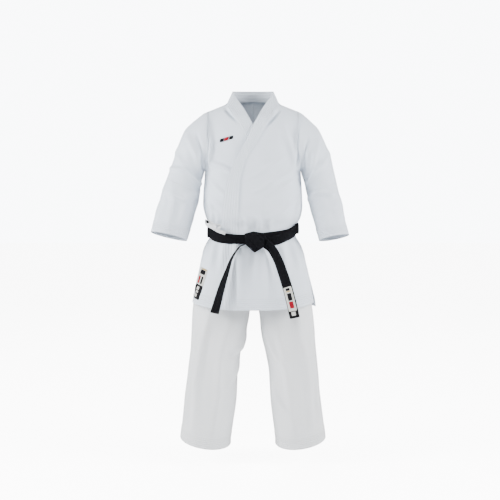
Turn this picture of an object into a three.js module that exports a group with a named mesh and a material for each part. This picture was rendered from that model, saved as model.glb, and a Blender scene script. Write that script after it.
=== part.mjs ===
// A karate uniform as worn: a wrap jacket with three-quarter sleeves and side vents, wide drawstring
// trousers and a tied black belt. Millimetres, +Z up, the wearer faces -Y and their left is +X.
// Heights are measured from the floor, and the whole group is then lowered so that the origin is at the
// base of the neck, where the wearer or a hanger carries it.
import * as THREE from "three";

// Overall sizes
const NECK_BASE = 1437; // height of the shoulder seam where it meets the collar
const CHEST_WIDTH = 380;
const CHEST_DEPTH = 270;
const WAIST_WIDTH = 332;
const WAIST_DEPTH = 232;
const HEM_WIDTH = 490;
const HEM_DEPTH = 350;
const JACKET_HEM = 620;
const BELT_HEIGHT = 932;
const ARMPIT = 1170;
const SHOULDER_TIP = 1405;
const SHOULDER_WIDTH = 370;
const NECK_WIDTH = 210;

// Cloth, seams and layers
const CLOTH = 3;
const SEAM_GAP = 0.7; // half of the gap between two joined pieces
const LAYER = 6.5; // from one front panel's face to the other's
const BAND_THICKNESS = 5; // the quilted collar and lapel band
const HEM_THICKNESS = 4.2;

// Belt
const BELT_WIDTH = 40;
const BELT_THICKNESS = 3;
const BELT_CLEARANCE = 5;
const WRAP_CLEARANCE = 0.7;
const BELT_DIP = 18; // how much lower the belt sits in front than at the sides
const KNOT_DEPTH = 30;

// Jacket skirt and its joints
const SKIRT_SPLIT = 842; // where the hanging skirt starts to move
const SKIRT_SPLIT_GAP = 22;
const SKIRT_HEM_WIDTH = 48;
const VENT_OPENING = 16; // half of the gap of each side vent at the hem

// Sleeves
const ARMHOLE_DEPTH = 200;
const CUFF_DEPTH = 132;
const CUFF_HEM = 40;

// Trousers
const TROUSER_CLEARANCE = 15; // from the jacket's face to the trousers' at the waist
const WAISTBAND_HEIGHT = 38;
const HIP_AXIS = 880;
const HIP_RADIUS = 180; // the seat ends and the legs start on this radius about the hip axis
const SEAT_DEPTH = 232;
const THIGH_DEPTH = 212;
const KNEE = 475;
const KNEE_BAND = 110;
const LEG_HEM_HEIGHT = 92;
const LEG_HEM_WIDTH = 46;
const LEG_BACKSET = 6; // the lower legs hang this far behind the thighs

// ---- helpers -----------------------------------------------------------------------------------

const mix = (a, b, t) => a + (b - a) * t;
const point = (x, y, z) => new THREE.Vector3(x, y, z);

function ease(from, to, value) {
  const t = Math.min(1, Math.max(0, (value - from) / (to - from)));
  return t * t * (3 - 2 * t);
}

// A smooth curve through rows of [key, value, value...], read at any key.
function through(rows) {
  const sorted = [...rows].sort((a, b) => a[0] - b[0]);
  const slope = (i, k) => {
    const before = sorted[Math.max(0, i - 1)];
    const after = sorted[Math.min(sorted.length - 1, i + 1)];
    return (after[k] - before[k]) / (after[0] - before[0]);
  };
  return (key, k = 1) => {
    let i = sorted.findIndex((row) => row[0] >= key);
    if (i < 1) i = i < 0 ? sorted.length - 1 : 1;
    const a = sorted[i - 1];
    const b = sorted[i];
    const span = b[0] - a[0];
    const t = Math.min(1, Math.max(0, (key - a[0]) / span));
    const s = t * t * (3 - 2 * t);
    const bow = (t * (1 - t) * (1 - t) * slope(i - 1, k) - t * t * (1 - t) * slope(i, k)) * span;
    return mix(a[k], b[k], s) + bow;
  };
}

// Turns a closed list of points and triangles into a geometry whose faces point out.
function closedMesh(points, triangles) {
  let volume = 0;
  for (const [a, b, c] of triangles) {
    volume += points[a].dot(new THREE.Vector3().crossVectors(points[b], points[c]));
  }
  const order = volume < 0 ? triangles.map(([a, b, c]) => [a, c, b]) : triangles;
  const geometry = new THREE.BufferGeometry();
  const position = new Float32Array(points.flatMap((p) => [p.x, p.y, p.z]));
  geometry.setAttribute("position", new THREE.BufferAttribute(position, 3));
  geometry.setIndex(order.flat());
  geometry.computeVertexNormals();
  return geometry;
}

// The unit normal of surface(u, v), pointing away from the body's core at that point.
function outward(surface, u, v, core) {
  const step = 1e-3;
  const span = (a, b) => new THREE.Vector3().subVectors(b, a);
  const low = (t) => Math.max(0, t - step);
  const high = (t) => Math.min(1, t + step);
  const alongU = span(surface(low(u), v), surface(high(u), v));
  const alongV = span(surface(u, low(v)), surface(u, high(v)));
  const normal = alongU.cross(alongV).normalize();
  const p = surface(u, v);
  return normal.dot(span(core(p, v), p)) < 0 ? normal.negate() : normal;
}

const bodyAxis = (p) => point(0, 0, p.z - 40);

// A flat or curved piece of cloth: surface(u, v) is its outer face, and its wall goes inwards.
function clothPanel(surface, columns, rows, thickness = CLOTH, core = bodyAxis) {
  const points = [];
  const triangles = [];
  for (let j = 0; j <= rows; j++) {
    for (let i = 0; i <= columns; i++) {
      const face = surface(i / columns, j / rows);
      const normal = outward(surface, i / columns, j / rows, core);
      points.push(face, face.clone().addScaledVector(normal, -thickness));
    }
  }
  const at = (i, j, side) => 2 * (j * (columns + 1) + i) + side;
  const quad = (a, b, c, d) => triangles.push([a, b, c], [a, c, d]);
  for (let j = 0; j < rows; j++) {
    for (let i = 0; i < columns; i++) {
      quad(at(i, j, 0), at(i + 1, j, 0), at(i + 1, j + 1, 0), at(i, j + 1, 0));
      quad(at(i, j, 1), at(i, j + 1, 1), at(i + 1, j + 1, 1), at(i + 1, j, 1));
    }
  }
  for (let i = 0; i < columns; i++) {
    quad(at(i + 1, 0, 0), at(i, 0, 0), at(i, 0, 1), at(i + 1, 0, 1));
    quad(at(i, rows, 0), at(i + 1, rows, 0), at(i + 1, rows, 1), at(i, rows, 1));
  }
  for (let j = 0; j < rows; j++) {
    quad(at(0, j, 0), at(0, j + 1, 0), at(0, j + 1, 1), at(0, j, 1));
    quad(at(columns, j + 1, 0), at(columns, j, 0), at(columns, j, 1), at(columns, j + 1, 1));
  }
  return closedMesh(points, triangles);
}

// A sleeve-like piece: surface(u, v) goes round with u and along with v, open at both ends.
function clothTube(surface, columns, rows, core, thickness = CLOTH) {
  const wrapped = (u, v) => surface(((u % 1) + 1) % 1, v);
  const inner = (u, v) => {
    const step = 1e-3;
    const alongU = wrapped(u + step, v).sub(wrapped(u - step, v));
    const alongV = wrapped(u, Math.min(1, v + step)).sub(wrapped(u, Math.max(0, v - step)));
    const normal = alongU.cross(alongV).normalize();
    const p = wrapped(u, v);
    if (normal.dot(p.clone().sub(core(p, v))) < 0) normal.negate();
    return p.addScaledVector(normal, -thickness);
  };
  const points = [];
  const triangles = [];
  for (let j = 0; j <= rows; j++) {
    for (let i = 0; i < columns; i++) {
      points.push(wrapped(i / columns, j / rows), inner(i / columns, j / rows));
    }
  }
  const at = (i, j, side) => 2 * (j * columns + (i % columns)) + side;
  const quad = (a, b, c, d) => triangles.push([a, b, c], [a, c, d]);
  for (let i = 0; i < columns; i++) {
    for (let j = 0; j < rows; j++) {
      quad(at(i, j, 0), at(i + 1, j, 0), at(i + 1, j + 1, 0), at(i, j + 1, 0));
      quad(at(i, j, 1), at(i, j + 1, 1), at(i + 1, j + 1, 1), at(i + 1, j, 1));
    }
    quad(at(i + 1, 0, 0), at(i, 0, 0), at(i, 0, 1), at(i + 1, 0, 1));
    quad(at(i, rows, 0), at(i + 1, rows, 0), at(i + 1, rows, 1), at(i, rows, 1));
  }
  return closedMesh(points, triangles);
}

// A closed hoop: a section of [offset, rise] corners carried round loop(angle, offset, rise).
function hoop(loop, section, segments) {
  const points = [];
  const triangles = [];
  for (let i = 0; i < segments; i++) {
    const angle = (i / segments) * 2 * Math.PI;
    for (const [offset, rise] of section) points.push(loop(angle, offset, rise));
  }
  const count = section.length;
  const at = (i, k) => (i % segments) * count + (k % count);
  for (let i = 0; i < segments; i++) {
    for (let k = 0; k < count; k++) {
      triangles.push([at(i, k), at(i + 1, k), at(i + 1, k + 1)]);
      triangles.push([at(i, k), at(i + 1, k + 1), at(i, k + 1)]);
    }
  }
  return closedMesh(points, triangles);
}

// ---- the jacket's body shape -------------------------------------------------------------------

// Half-width and half-depth of the jacket by height.
const torso = through([
  [JACKET_HEM, HEM_WIDTH / 2, HEM_DEPTH / 2],
  [SKIRT_SPLIT - 60, WAIST_WIDTH / 2 + 52, WAIST_DEPTH / 2 + 30],
  [SKIRT_SPLIT, WAIST_WIDTH / 2 + 36, WAIST_DEPTH / 2 + 8],
  [BELT_HEIGHT - 52, WAIST_WIDTH / 2 + 22, WAIST_DEPTH / 2 + 2],
  [BELT_HEIGHT - 26, WAIST_WIDTH / 2 + 3, WAIST_DEPTH / 2],
  [BELT_HEIGHT, WAIST_WIDTH / 2, WAIST_DEPTH / 2],
  [BELT_HEIGHT + 26, WAIST_WIDTH / 2 + 4, WAIST_DEPTH / 2 + 1],
  [BELT_HEIGHT + 78, CHEST_WIDTH / 2 + 5, CHEST_DEPTH / 2],
  [ARMPIT - 90, CHEST_WIDTH / 2 + 5, CHEST_DEPTH / 2 + 4],
  [ARMPIT, CHEST_WIDTH / 2, CHEST_DEPTH / 2],
  [ARMPIT + 60, SHOULDER_WIDTH / 2, CHEST_DEPTH / 2 - 5],
  [SHOULDER_TIP, SHOULDER_WIDTH / 2, CHEST_DEPTH / 2 - 9],
]);
const ROUNDNESS = 2.4; // the exponent of the body's oval sections
const ARMHOLE_MIDDLE = (ARMPIT + SHOULDER_TIP) / 2;
const ARMHOLE_HALF = (SHOULDER_TIP - ARMPIT) / 2;

const shoulderLine = (x) =>
  mix(NECK_BASE, SHOULDER_TIP, (Math.abs(x) - NECK_WIDTH / 2) / ((SHOULDER_WIDTH - NECK_WIDTH) / 2));

// Half-depth of the armhole at a height: nothing below the armpit, an oval above it.
function armholeDepth(z) {
  if (z <= ARMPIT) return 0;
  const t = Math.min(0, (z - ARMHOLE_MIDDLE) / ARMHOLE_HALF);
  return (ARMHOLE_DEPTH / 2) * Math.sqrt(1 - t * t);
}

// A point of the jacket's body; facing is -1 on the front and 1 on the back, grow moves it outwards.
function bodyPoint(x, z, facing, grow = 0) {
  const half = torso(z) + grow;
  const across = Math.min(1, Math.abs(x) / half);
  const side = armholeDepth(z) * Math.pow(across, 6);
  const bulge = Math.pow(Math.max(0, 1 - Math.pow(across, ROUNDNESS)), 1 / ROUNDNESS);
  const depth = side + (torso(z, 2) + grow - side) * bulge;
  const top = shoulderLine(x) + grow;
  const rise = Math.min(1, Math.max(0, (z - ARMHOLE_MIDDLE) / (top - ARMHOLE_MIDDLE)));
  return point(x, facing * Math.max(SEAM_GAP, depth * Math.sqrt(1 - rise * rise)), z);
}

// A closed ring of the jacket below the armpits.
function bodyRing(angle, z, grow) {
  const power = 2 / ROUNDNESS;
  const part = (t) => Math.sign(t) * Math.pow(Math.abs(t), power);
  const x = (torso(z) + grow) * part(Math.cos(angle));
  return point(x, (torso(z, 2) + grow) * part(Math.sin(angle)), z);
}

const PANEL_ROWS = 14;
const LOW_ROWS = 8; // of those, how many lie below the armhole's middle

// Heights of a panel's rows: even up to the armhole's middle, then closing over the shoulder.
function panelHeight(v, bottom, top) {
  const turn = LOW_ROWS / PANEL_ROWS;
  if (v <= turn) return mix(bottom, ARMHOLE_MIDDLE, v / turn);
  const last = Math.asin(0.99996);
  return ARMHOLE_MIDDLE + (top - ARMHOLE_MIDDLE) * Math.sin(((v - turn) / (1 - turn)) * last);
}

// ---- fronts, lapels and collar -----------------------------------------------------------------

// The left front lies over the right. Its free edge and its band seam, by height.
const V_POINT = 1354;
const freeEdge = through([
  [JACKET_HEM - 10, -116],
  [BELT_HEIGHT, -126],
  [1037, -118],
  [1160, -93],
  [1215, -68],
  [1300, -24],
  [V_POINT, 2],
  [1420, 40],
  [1470, 72],
]);
const bandSeam = through([
  [JACKET_HEM - 10, -57],
  [BELT_HEIGHT, -54],
  [1060, -52],
  [1152, -45],
  [1210, -26],
  [1279, 16],
  [V_POINT, 55],
  [1400, 84],
  [NECK_BASE, NECK_WIDTH / 2],
]);

// The over layer stands proud of the body near its edge, and the under layer sinks beneath it.
const overGrow = (x) => LAYER * (1 - ease(50, 168, x));
const frontSide = (over) => (over ? 1 : -1);
const frontPoint = (over, x, z) => bodyPoint(frontSide(over) * x, z, -1, frontGrowAt(over, x));
// x is counted towards the panel's own side, so the right front is the left one mirrored.
function frontGrowAt(over, x) {
  return over ? overGrow(x) : overGrow(-x) - LAYER;
}

const sideAngle = (z) => Math.PI / 2 - (2 * SEAM_GAP) / torso(z, 2);

// A front panel from its band seam to its side seam and armhole, between two heights.
function frontPanel(over, bottom) {
  const neckAngle = Math.asin(NECK_WIDTH / SHOULDER_WIDTH);
  return clothPanel(
    (u, v) => {
      const edgeZ = panelHeight(v, bottom, NECK_BASE);
      const topX = (SHOULDER_WIDTH / 2) * Math.sin(mix(neckAngle, Math.PI / 2, u));
      const z = panelHeight(v, bottom, shoulderLine(topX));
      const start = Math.asin((bandSeam(edgeZ) + SEAM_GAP) / torso(edgeZ));
      const x = torso(z) * Math.sin(mix(start, sideAngle(z), u));
      return frontPoint(over, x, z);
    },
    11,
    PANEL_ROWS,
  );
}

// A front skirt below the split, from its band seam to the vent.
function skirtPanel(over, top, bottom, thickness) {
  return clothPanel(
    (u, v) => {
      const z = mix(bottom, top, v);
      const start = Math.asin((bandSeam(z) + SEAM_GAP) / torso(z));
      const vent = mix(VENT_OPENING, 4, ease(JACKET_HEM, SKIRT_SPLIT, z));
      const x = torso(z) * Math.sin(mix(start, Math.PI / 2 - vent / torso(z, 2), u));
      return frontPoint(over, x, z);
    },
    12,
    thickness === CLOTH ? 4 : 1,
    thickness,
  );
}

// A stretch of the lapel band between its seam and its free edge, through the heights of height(v).
function lapelBand(over, height, rows) {
  return clothPanel(
    (u, v) => {
      const z = height(v);
      const x = mix(freeEdge(z), bandSeam(z) - SEAM_GAP, u);
      return frontPoint(over, x, z);
    },
    3,
    rows,
    over ? BAND_THICKNESS - 1 : CLOTH,
  );
}

const COLLAR_START = 1392; // where the lapels end and the neck collar starts
const LAPEL_ROWS = LOW_ROWS + 3;

// The lapel's rows lie at the same heights as its panel's, so the two bend alike.
function lapelHeight(v) {
  const row = v * LAPEL_ROWS;
  if (row <= LOW_ROWS) return mix(SKIRT_SPLIT, ARMHOLE_MIDDLE, row / LOW_ROWS);
  return mix(ARMHOLE_MIDDLE, COLLAR_START - 4, (row - LOW_ROWS) / (LAPEL_ROWS - LOW_ROWS));
}
const COLLAR_RISE = 50;

// The band round the neck, from one front to the other: its seam below and its free edge above.
function neckCollar() {
  const seam = (t) => {
    const side = Math.sign(t) || 1;
    const s = Math.abs(t);
    if (s > 0.5) {
      const z = mix(NECK_BASE, COLLAR_START, (s - 0.5) / 0.5);
      return bodyPoint(side * (bandSeam(z) - SEAM_GAP), Math.min(z, NECK_BASE - 0.5), -1, 2);
    }
    const angle = (s / 0.5) * (Math.PI / 2);
    const x = side * (NECK_WIDTH / 2 - SEAM_GAP) * Math.sin(angle);
    return point(x, 74 * Math.cos(angle), NECK_BASE + 8 + 6 * Math.cos(angle));
  };
  const edge = (t) => {
    const side = Math.sign(t) || 1;
    const s = Math.abs(t);
    const high = NECK_BASE + COLLAR_RISE;
    const angle = mix(0, Math.PI * 0.5, Math.min(1, s / 0.5));
    if (s <= 0.5) {
      const across = side * 82 * Math.sin(angle);
      return point(across, 60 * Math.cos(angle) - 4, high + 4 * Math.cos(angle));
    }
    const fall = (s - 0.5) / 0.5;
    const z = mix(high, COLLAR_START, fall);
    const x = mix(82, freeEdge(COLLAR_START), ease(0, 1, fall) * 0.3 + fall * 0.7);
    const y = mix(-4, bodyPoint(freeEdge(COLLAR_START), COLLAR_START, -1, 2).y, fall);
    return point(side * x, y, z);
  };
  const surface = (u, v) => {
    const t = mix(-1, 1, u);
    return edge(t).lerp(seam(t), v);
  };
  return clothPanel(surface, 28, 2, BAND_THICKNESS, (p) => point(0, 0, p.z - 60));
}

// ---- backs, shoulder linings and vents ---------------------------------------------------------

function backPanel(side, bottom) {
  const topLine = (x) => (x < NECK_WIDTH / 2 ? NECK_BASE + 4 * (1 - (2 * x) / NECK_WIDTH) : shoulderLine(x));
  return clothPanel(
    (u, v) => {
      const start = Math.asin(SEAM_GAP / torso(BELT_HEIGHT));
      const topX = (SHOULDER_WIDTH / 2) * Math.sin(mix(start, Math.PI / 2, u));
      const z = panelHeight(v, bottom, topLine(topX) - SEAM_GAP);
      const x = torso(z) * Math.sin(mix(start, sideAngle(z), u));
      return bodyPoint(side * x, z, 1);
    },
    11,
    PANEL_ROWS,
  );
}

function backSkirt(top, bottom, thickness) {
  return clothPanel(
    (u, v) => {
      const z = mix(bottom, top, v);
      const vent = mix(VENT_OPENING, 4, ease(JACKET_HEM, SKIRT_SPLIT, z));
      const limit = Math.PI / 2 - vent / torso(z, 2);
      return bodyPoint(torso(z) * Math.sin(mix(-limit, limit, u)), z, 1);
    },
    22,
    thickness === CLOTH ? 4 : 1,
    thickness,
  );
}

// The reinforcement sewn inside each shoulder, front to back over the seam.
function shoulderLining(side) {
  const inset = CLOTH + 2.4;
  const reach = 1.12; // how far round the shoulder it goes, in radians to each side
  return clothPanel(
    (u, v) => {
      const x = mix(NECK_WIDTH / 2 + 12, SHOULDER_WIDTH / 2 - 9, u);
      const turn = mix(-reach, reach, v);
      const z = ARMHOLE_MIDDLE + (shoulderLine(x) - ARMHOLE_MIDDLE) * Math.cos(turn);
      const wall = bodyPoint(x, ARMHOLE_MIDDLE, 1);
      const scale = 1 - inset / wall.y;
      return point(side * x, wall.y * scale * Math.sin(turn), z - inset);
    },
    4,
    12,
    2,
    (p) => point(p.x, 0, ARMHOLE_MIDDLE - 40),
  );
}

// The patch that closes the top of each side vent.
function ventPatch(side) {
  const reach = 16;
  return clothPanel(
    (u, v) => {
      const z = mix(SKIRT_SPLIT + 2, SKIRT_SPLIT + 34, v);
      return point(side * (torso(z) + CLOTH), mix(-reach, reach, u), z);
    },
    2,
    2,
    2,
  );
}

// ---- sleeves -----------------------------------------------------------------------------------

// Rings of each sleeve from armhole to cuff: outer edge x and z, inner edge x and z, half-depth, middle y.
const HALF_SHOULDER = SHOULDER_WIDTH / 2 + 2;
const HALF_CHEST = CHEST_WIDTH / 2;
const SLEEVE_INNER = [
  [HALF_CHEST + 2, ARMPIT + 2],
  [HALF_CHEST + 6, ARMPIT - 12],
  [HALF_CHEST + 15, ARMPIT - 42],
  [HALF_CHEST + 19, ARMPIT - 66],
  [HALF_CHEST + 22, ARMPIT - 86],
  [HALF_CHEST + 35, ARMPIT - 150],
  [HALF_CHEST + 53, ARMPIT - 205],
  [HALF_CHEST + 73, ARMPIT - 273],
];
const SLEEVE_DEPTHS = [ARMHOLE_DEPTH / 2, 96, 90, 85, 83, 79, 74, CUFF_DEPTH / 2];
const SLEEVE_FORWARD = [0, 0, -2, -6, -10, -20, -32, -45];
const SLEEVE_OUTER = {
  left: [
    [HALF_SHOULDER, SHOULDER_TIP + 3], [HALF_CHEST + 72, 1334], [HALF_CHEST + 109, 1250],
    [HALF_CHEST + 130, 1176], [HALF_CHEST + 143, 1128], [HALF_CHEST + 162, 1050],
    [HALF_CHEST + 176, 985], [HALF_CHEST + 190, 918],
  ],
  right: [
    [HALF_SHOULDER, SHOULDER_TIP + 3], [HALF_CHEST + 75, 1337], [HALF_CHEST + 111, 1255],
    [HALF_CHEST + 137, 1192], [HALF_CHEST + 154, 1146], [HALF_CHEST + 178, 1070],
    [HALF_CHEST + 197, 1002], [HALF_CHEST + 215, 930],
  ],
};

function sleeveShape(name) {
  const side = name === "left" ? 1 : -1;
  const rings = through(
    SLEEVE_OUTER[name].map(([x, z], i) => [i, x, z, ...SLEEVE_INNER[i], SLEEVE_DEPTHS[i], SLEEVE_FORWARD[i]]),
  );
  const centre = (s) =>
    point((side * (rings(s, 1) + rings(s, 3))) / 2, rings(s, 6), (rings(s, 2) + rings(s, 4)) / 2);
  const ringPoint = (s, angle) => {
    const middle = centre(s);
    const reach = Math.cos(angle) / 2;
    middle.x += side * (rings(s, 1) - rings(s, 3)) * reach;
    middle.z += (rings(s, 2) - rings(s, 4)) * reach;
    middle.y += rings(s, 5) * Math.sin(angle);
    return middle;
  };
  return { ringPoint, centre };
}

// A stretch of a sleeve between two ring numbers.
function sleevePiece(shape, from, to, rows, thickness = CLOTH) {
  return clothTube(
    (u, v) => shape.ringPoint(mix(from, to, v), 2 * Math.PI * u),
    20,
    rows,
    (p, v) => shape.centre(mix(from, to, v)),
    thickness,
  );
}

// ---- trousers ----------------------------------------------------------------------------------

// Middle, half-width and half-depth of one leg by height.
const leg = through([
  [LEG_HEM_HEIGHT, 193, 102, 97],
  [250, 174, 104, 98],
  [380, 162, 101, 99],
  [480, 147, 106, 102],
  [560, 133, 113, 105],
  [620, 125, 115, 106],
  [680, 119, 110, THIGH_DEPTH / 2],
  [760, 110, 96, SEAT_DEPTH / 2 - 2],
]);
const WAIST_TOP = BELT_HEIGHT + 56;
const WAIST_LOW = WAIST_TOP - WAISTBAND_HEIGHT;
const legBack = (z) => LEG_BACKSET * (1 - ease(KNEE - 60, KNEE + 60, z));

// Height of the cut between seat and legs at a depth y: a cylinder about the hip axis.
const hipCut = (y, extra) => HIP_AXIS - Math.sqrt((HIP_RADIUS + extra) ** 2 - y * y);

function legRing(side, angle, z) {
  const x = leg(z) + leg(z, 2) * Math.cos(angle);
  return point(side * x, leg(z, 3) * Math.sin(angle) + legBack(z), z);
}

function legPiece(side, topAt, bottomAt, rows, thickness = CLOTH) {
  return clothTube(
    (u, v) => {
      const angle = 2 * Math.PI * u;
      return legRing(side, angle, mix(topAt(angle), bottomAt(angle), v));
    },
    20,
    rows,
    (p) => point(side * leg(p.z), legBack(p.z), p.z),
    thickness,
  );
}

// One half of the seat, from the waistband to its leg, with the crotch curve along its inner edge.
function trouserSeat(side) {
  const sweep = Math.PI * 0.93;
  const top = WAIST_LOW - 1;
  return clothPanel(
    (u, v) => {
      const around = mix(-1, 1, u);
      const legAngle = around * sweep;
      const legX = leg(700) + leg(700, 2) * Math.cos(legAngle);
      const legY = (SEAT_DEPTH / 2) * Math.sin(legAngle);
      const bottom = hipCut(legY, 0);
      const z = mix(top, bottom, v);
      const waist = bodyRing((around * Math.PI) / 2, top, -TROUSER_CLEARANCE);
      const bend = Math.pow(v, 2.4);
      const belly = 20 * Math.sin(Math.PI * Math.min(1, v * 1.05)) * Math.cos((around * Math.PI) / 2);
      const x = mix(Math.max(waist.x, SEAM_GAP), legX, bend) + belly * 0.6;
      return point(side * Math.max(x, SEAM_GAP), mix(waist.y, legY, bend), z);
    },
    18,
    8,
  );
}

// The diamond between the legs.
function gusset() {
  const length = 62;
  return clothPanel(
    (u, v) => {
      const along = mix(-1, 1, v);
      const wide = 9 * (1 - Math.abs(along) * 0.75);
      const z = HIP_AXIS - HIP_RADIUS + 12 + 26 * along * along;
      return point(mix(-wide, wide, u), length * along * 0.5, z);
    },
    2,
    8,
    2,
    (p) => point(0, 0, p.z + 60),
  );
}

// ---- belt --------------------------------------------------------------------------------------

const beltHeight = (angle) => BELT_HEIGHT + BELT_DIP * Math.sin(angle);
const beltInner = LAYER + BELT_CLEARANCE;
const beltOuter = beltInner + BELT_THICKNESS + WRAP_CLEARANCE;
const BELT_FACE = beltOuter + BELT_THICKNESS;

function beltWrap(offset) {
  const half = BELT_WIDTH / 2;
  const section = [
    [offset, -half],
    [offset + BELT_THICKNESS, -half],
    [offset + BELT_THICKNESS, half],
    [offset, half],
  ];
  const loop = (angle, grow, rise) => {
    const p = bodyRing(angle, BELT_HEIGHT, grow);
    p.z = beltHeight(angle) + rise;
    return p;
  };
  return hoop(loop, section, 36);
}

const KNOT_X = 4;
const KNOT_BACK = -(WAIST_DEPTH / 2 + BELT_FACE + 0.8);
const KNOT_HEIGHT = BELT_HEIGHT - BELT_DIP - 18;

// The knot: a folded block whose lower corner points down.
function beltKnot() {
  const outline = new THREE.Shape();
  outline.moveTo(0, -48);
  outline.lineTo(32, -14);
  outline.lineTo(36, 14);
  outline.lineTo(20, 34);
  outline.lineTo(-24, 34);
  outline.lineTo(-34, 12);
  outline.lineTo(-30, -16);
  outline.closePath();
  const bevel = 5;
  return new THREE.ExtrudeGeometry(outline, {
    depth: KNOT_DEPTH - 2 * bevel,
    bevelSize: bevel,
    bevelThickness: bevel,
    bevelOffset: -bevel,
    bevelSegments: 2,
    steps: 1,
  });
}

// The hanging belt ends: route points of the strap's middle and how far its width is turned from X.
const TAIL_TOP = KNOT_BACK - KNOT_DEPTH;
const BELT_ENDS = {
  left: {
    route: [
      [62, TAIL_TOP, 868], [100, TAIL_TOP - 14, 824], [120, TAIL_TOP - 24, 772],
      [137, TAIL_TOP - 34, 706], [163, TAIL_TOP - 38, 592],
    ],
    turns: [1.25, 1.0, 0.7, 0.4, 0.4],
  },
  right: {
    route: [
      [-62, TAIL_TOP, 862], [-92, TAIL_TOP - 14, 812], [-110, TAIL_TOP - 24, 756],
      [-128, TAIL_TOP - 32, 690], [-150, TAIL_TOP - 36, 604],
    ],
    turns: [-1.5, -1.4, -1.15, -0.75, -0.5],
  },
};

// A strap of the belt along a route, its width turned about the vertical: its face and what lies behind it.
function strapShape({ route, turns }) {
  const line = new THREE.CatmullRomCurve3(route.map(([x, y, z]) => point(x, y, z)), false, "centripetal");
  const turn = through(turns.map((angle, i) => [i / (turns.length - 1), angle]));
  const surface = (u, v) => {
    const middle = line.getPoint(v);
    const along = line.getTangent(v);
    const across = point(Math.cos(turn(v)), -Math.sin(turn(v)), 0);
    across.addScaledVector(along, -across.dot(along)).normalize();
    return middle.addScaledVector(across, (u - 0.5) * BELT_WIDTH);
  };
  const core = (p, v) => p.clone().add(point(Math.sin(turn(v)), Math.cos(turn(v)), 0));
  return { surface, core };
}

// ---- labels and ties ---------------------------------------------------------------------------

// A flat woven label: a thin plate, its face towards -Y before it is turned.
function labelPlate(width, height, thickness) {
  const corner = Math.min(width, height) * 0.08;
  const outline = new THREE.Shape();
  outline.moveTo(-width / 2 + corner, -height / 2);
  outline.lineTo(width / 2 - corner, -height / 2);
  outline.lineTo(width / 2, -height / 2 + corner);
  outline.lineTo(width / 2, height / 2 - corner);
  outline.lineTo(width / 2 - corner, height / 2);
  outline.lineTo(-width / 2 + corner, height / 2);
  outline.lineTo(-width / 2, height / 2 - corner);
  outline.lineTo(-width / 2, -height / 2 + corner);
  outline.closePath();
  const plate = new THREE.ExtrudeGeometry(outline, { depth: thickness, bevelEnabled: false });
  return plate.rotateX(Math.PI / 2);
}

// A tied bow: a bar with two loops and two ends, as one flat closed outline.
function tieBow(size) {
  const outline = new THREE.Shape();
  outline.moveTo(0, size * 0.22);
  outline.lineTo(size * 0.7, size * 0.5);
  outline.lineTo(size, size * 0.2);
  outline.lineTo(size * 0.62, 0);
  outline.lineTo(size * 0.8, -size * 0.55);
  outline.lineTo(size * 0.5, -size * 0.62);
  outline.lineTo(0, -size * 0.24);
  outline.lineTo(-size * 0.5, -size * 0.62);
  outline.lineTo(-size * 0.8, -size * 0.55);
  outline.lineTo(-size * 0.62, 0);
  outline.lineTo(-size, size * 0.2);
  outline.lineTo(-size * 0.7, size * 0.5);
  outline.closePath();
  return new THREE.ExtrudeGeometry(outline, { depth: 6, bevelEnabled: false }).rotateX(Math.PI / 2);
}

// ---- finishes ----------------------------------------------------------------------------------

const finish = (color, roughness) => new THREE.MeshStandardMaterial({ color, roughness, metalness: 0 });
const jacketCanvas = () => finish(0xdee4ea, 0.85);
const trouserCanvas = () => finish(0xd8dadc, 0.88);
const beltCotton = () => finish(0x101012, 0.8);
const labelWeave = () => finish(0xe8e8e6, 0.6);
const badgeThread = () => finish(0x2a1a1e, 0.55);
const tieCotton = () => finish(0xe4e6ea, 0.9);
const elasticRubber = () => finish(0xcfcfcb, 0.9);

// ---- assembly ----------------------------------------------------------------------------------

const uniform = new THREE.Group();
const jacket = new THREE.Group();
const belt = new THREE.Group();
const trousers = new THREE.Group();
uniform.add(jacket, belt, trousers);
uniform.position.z = -NECK_BASE;

function add(group, name, geometry, material) {
  const mesh = new THREE.Mesh(geometry, material);
  mesh.name = name;
  group.add(mesh);
  return mesh;
}

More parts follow.
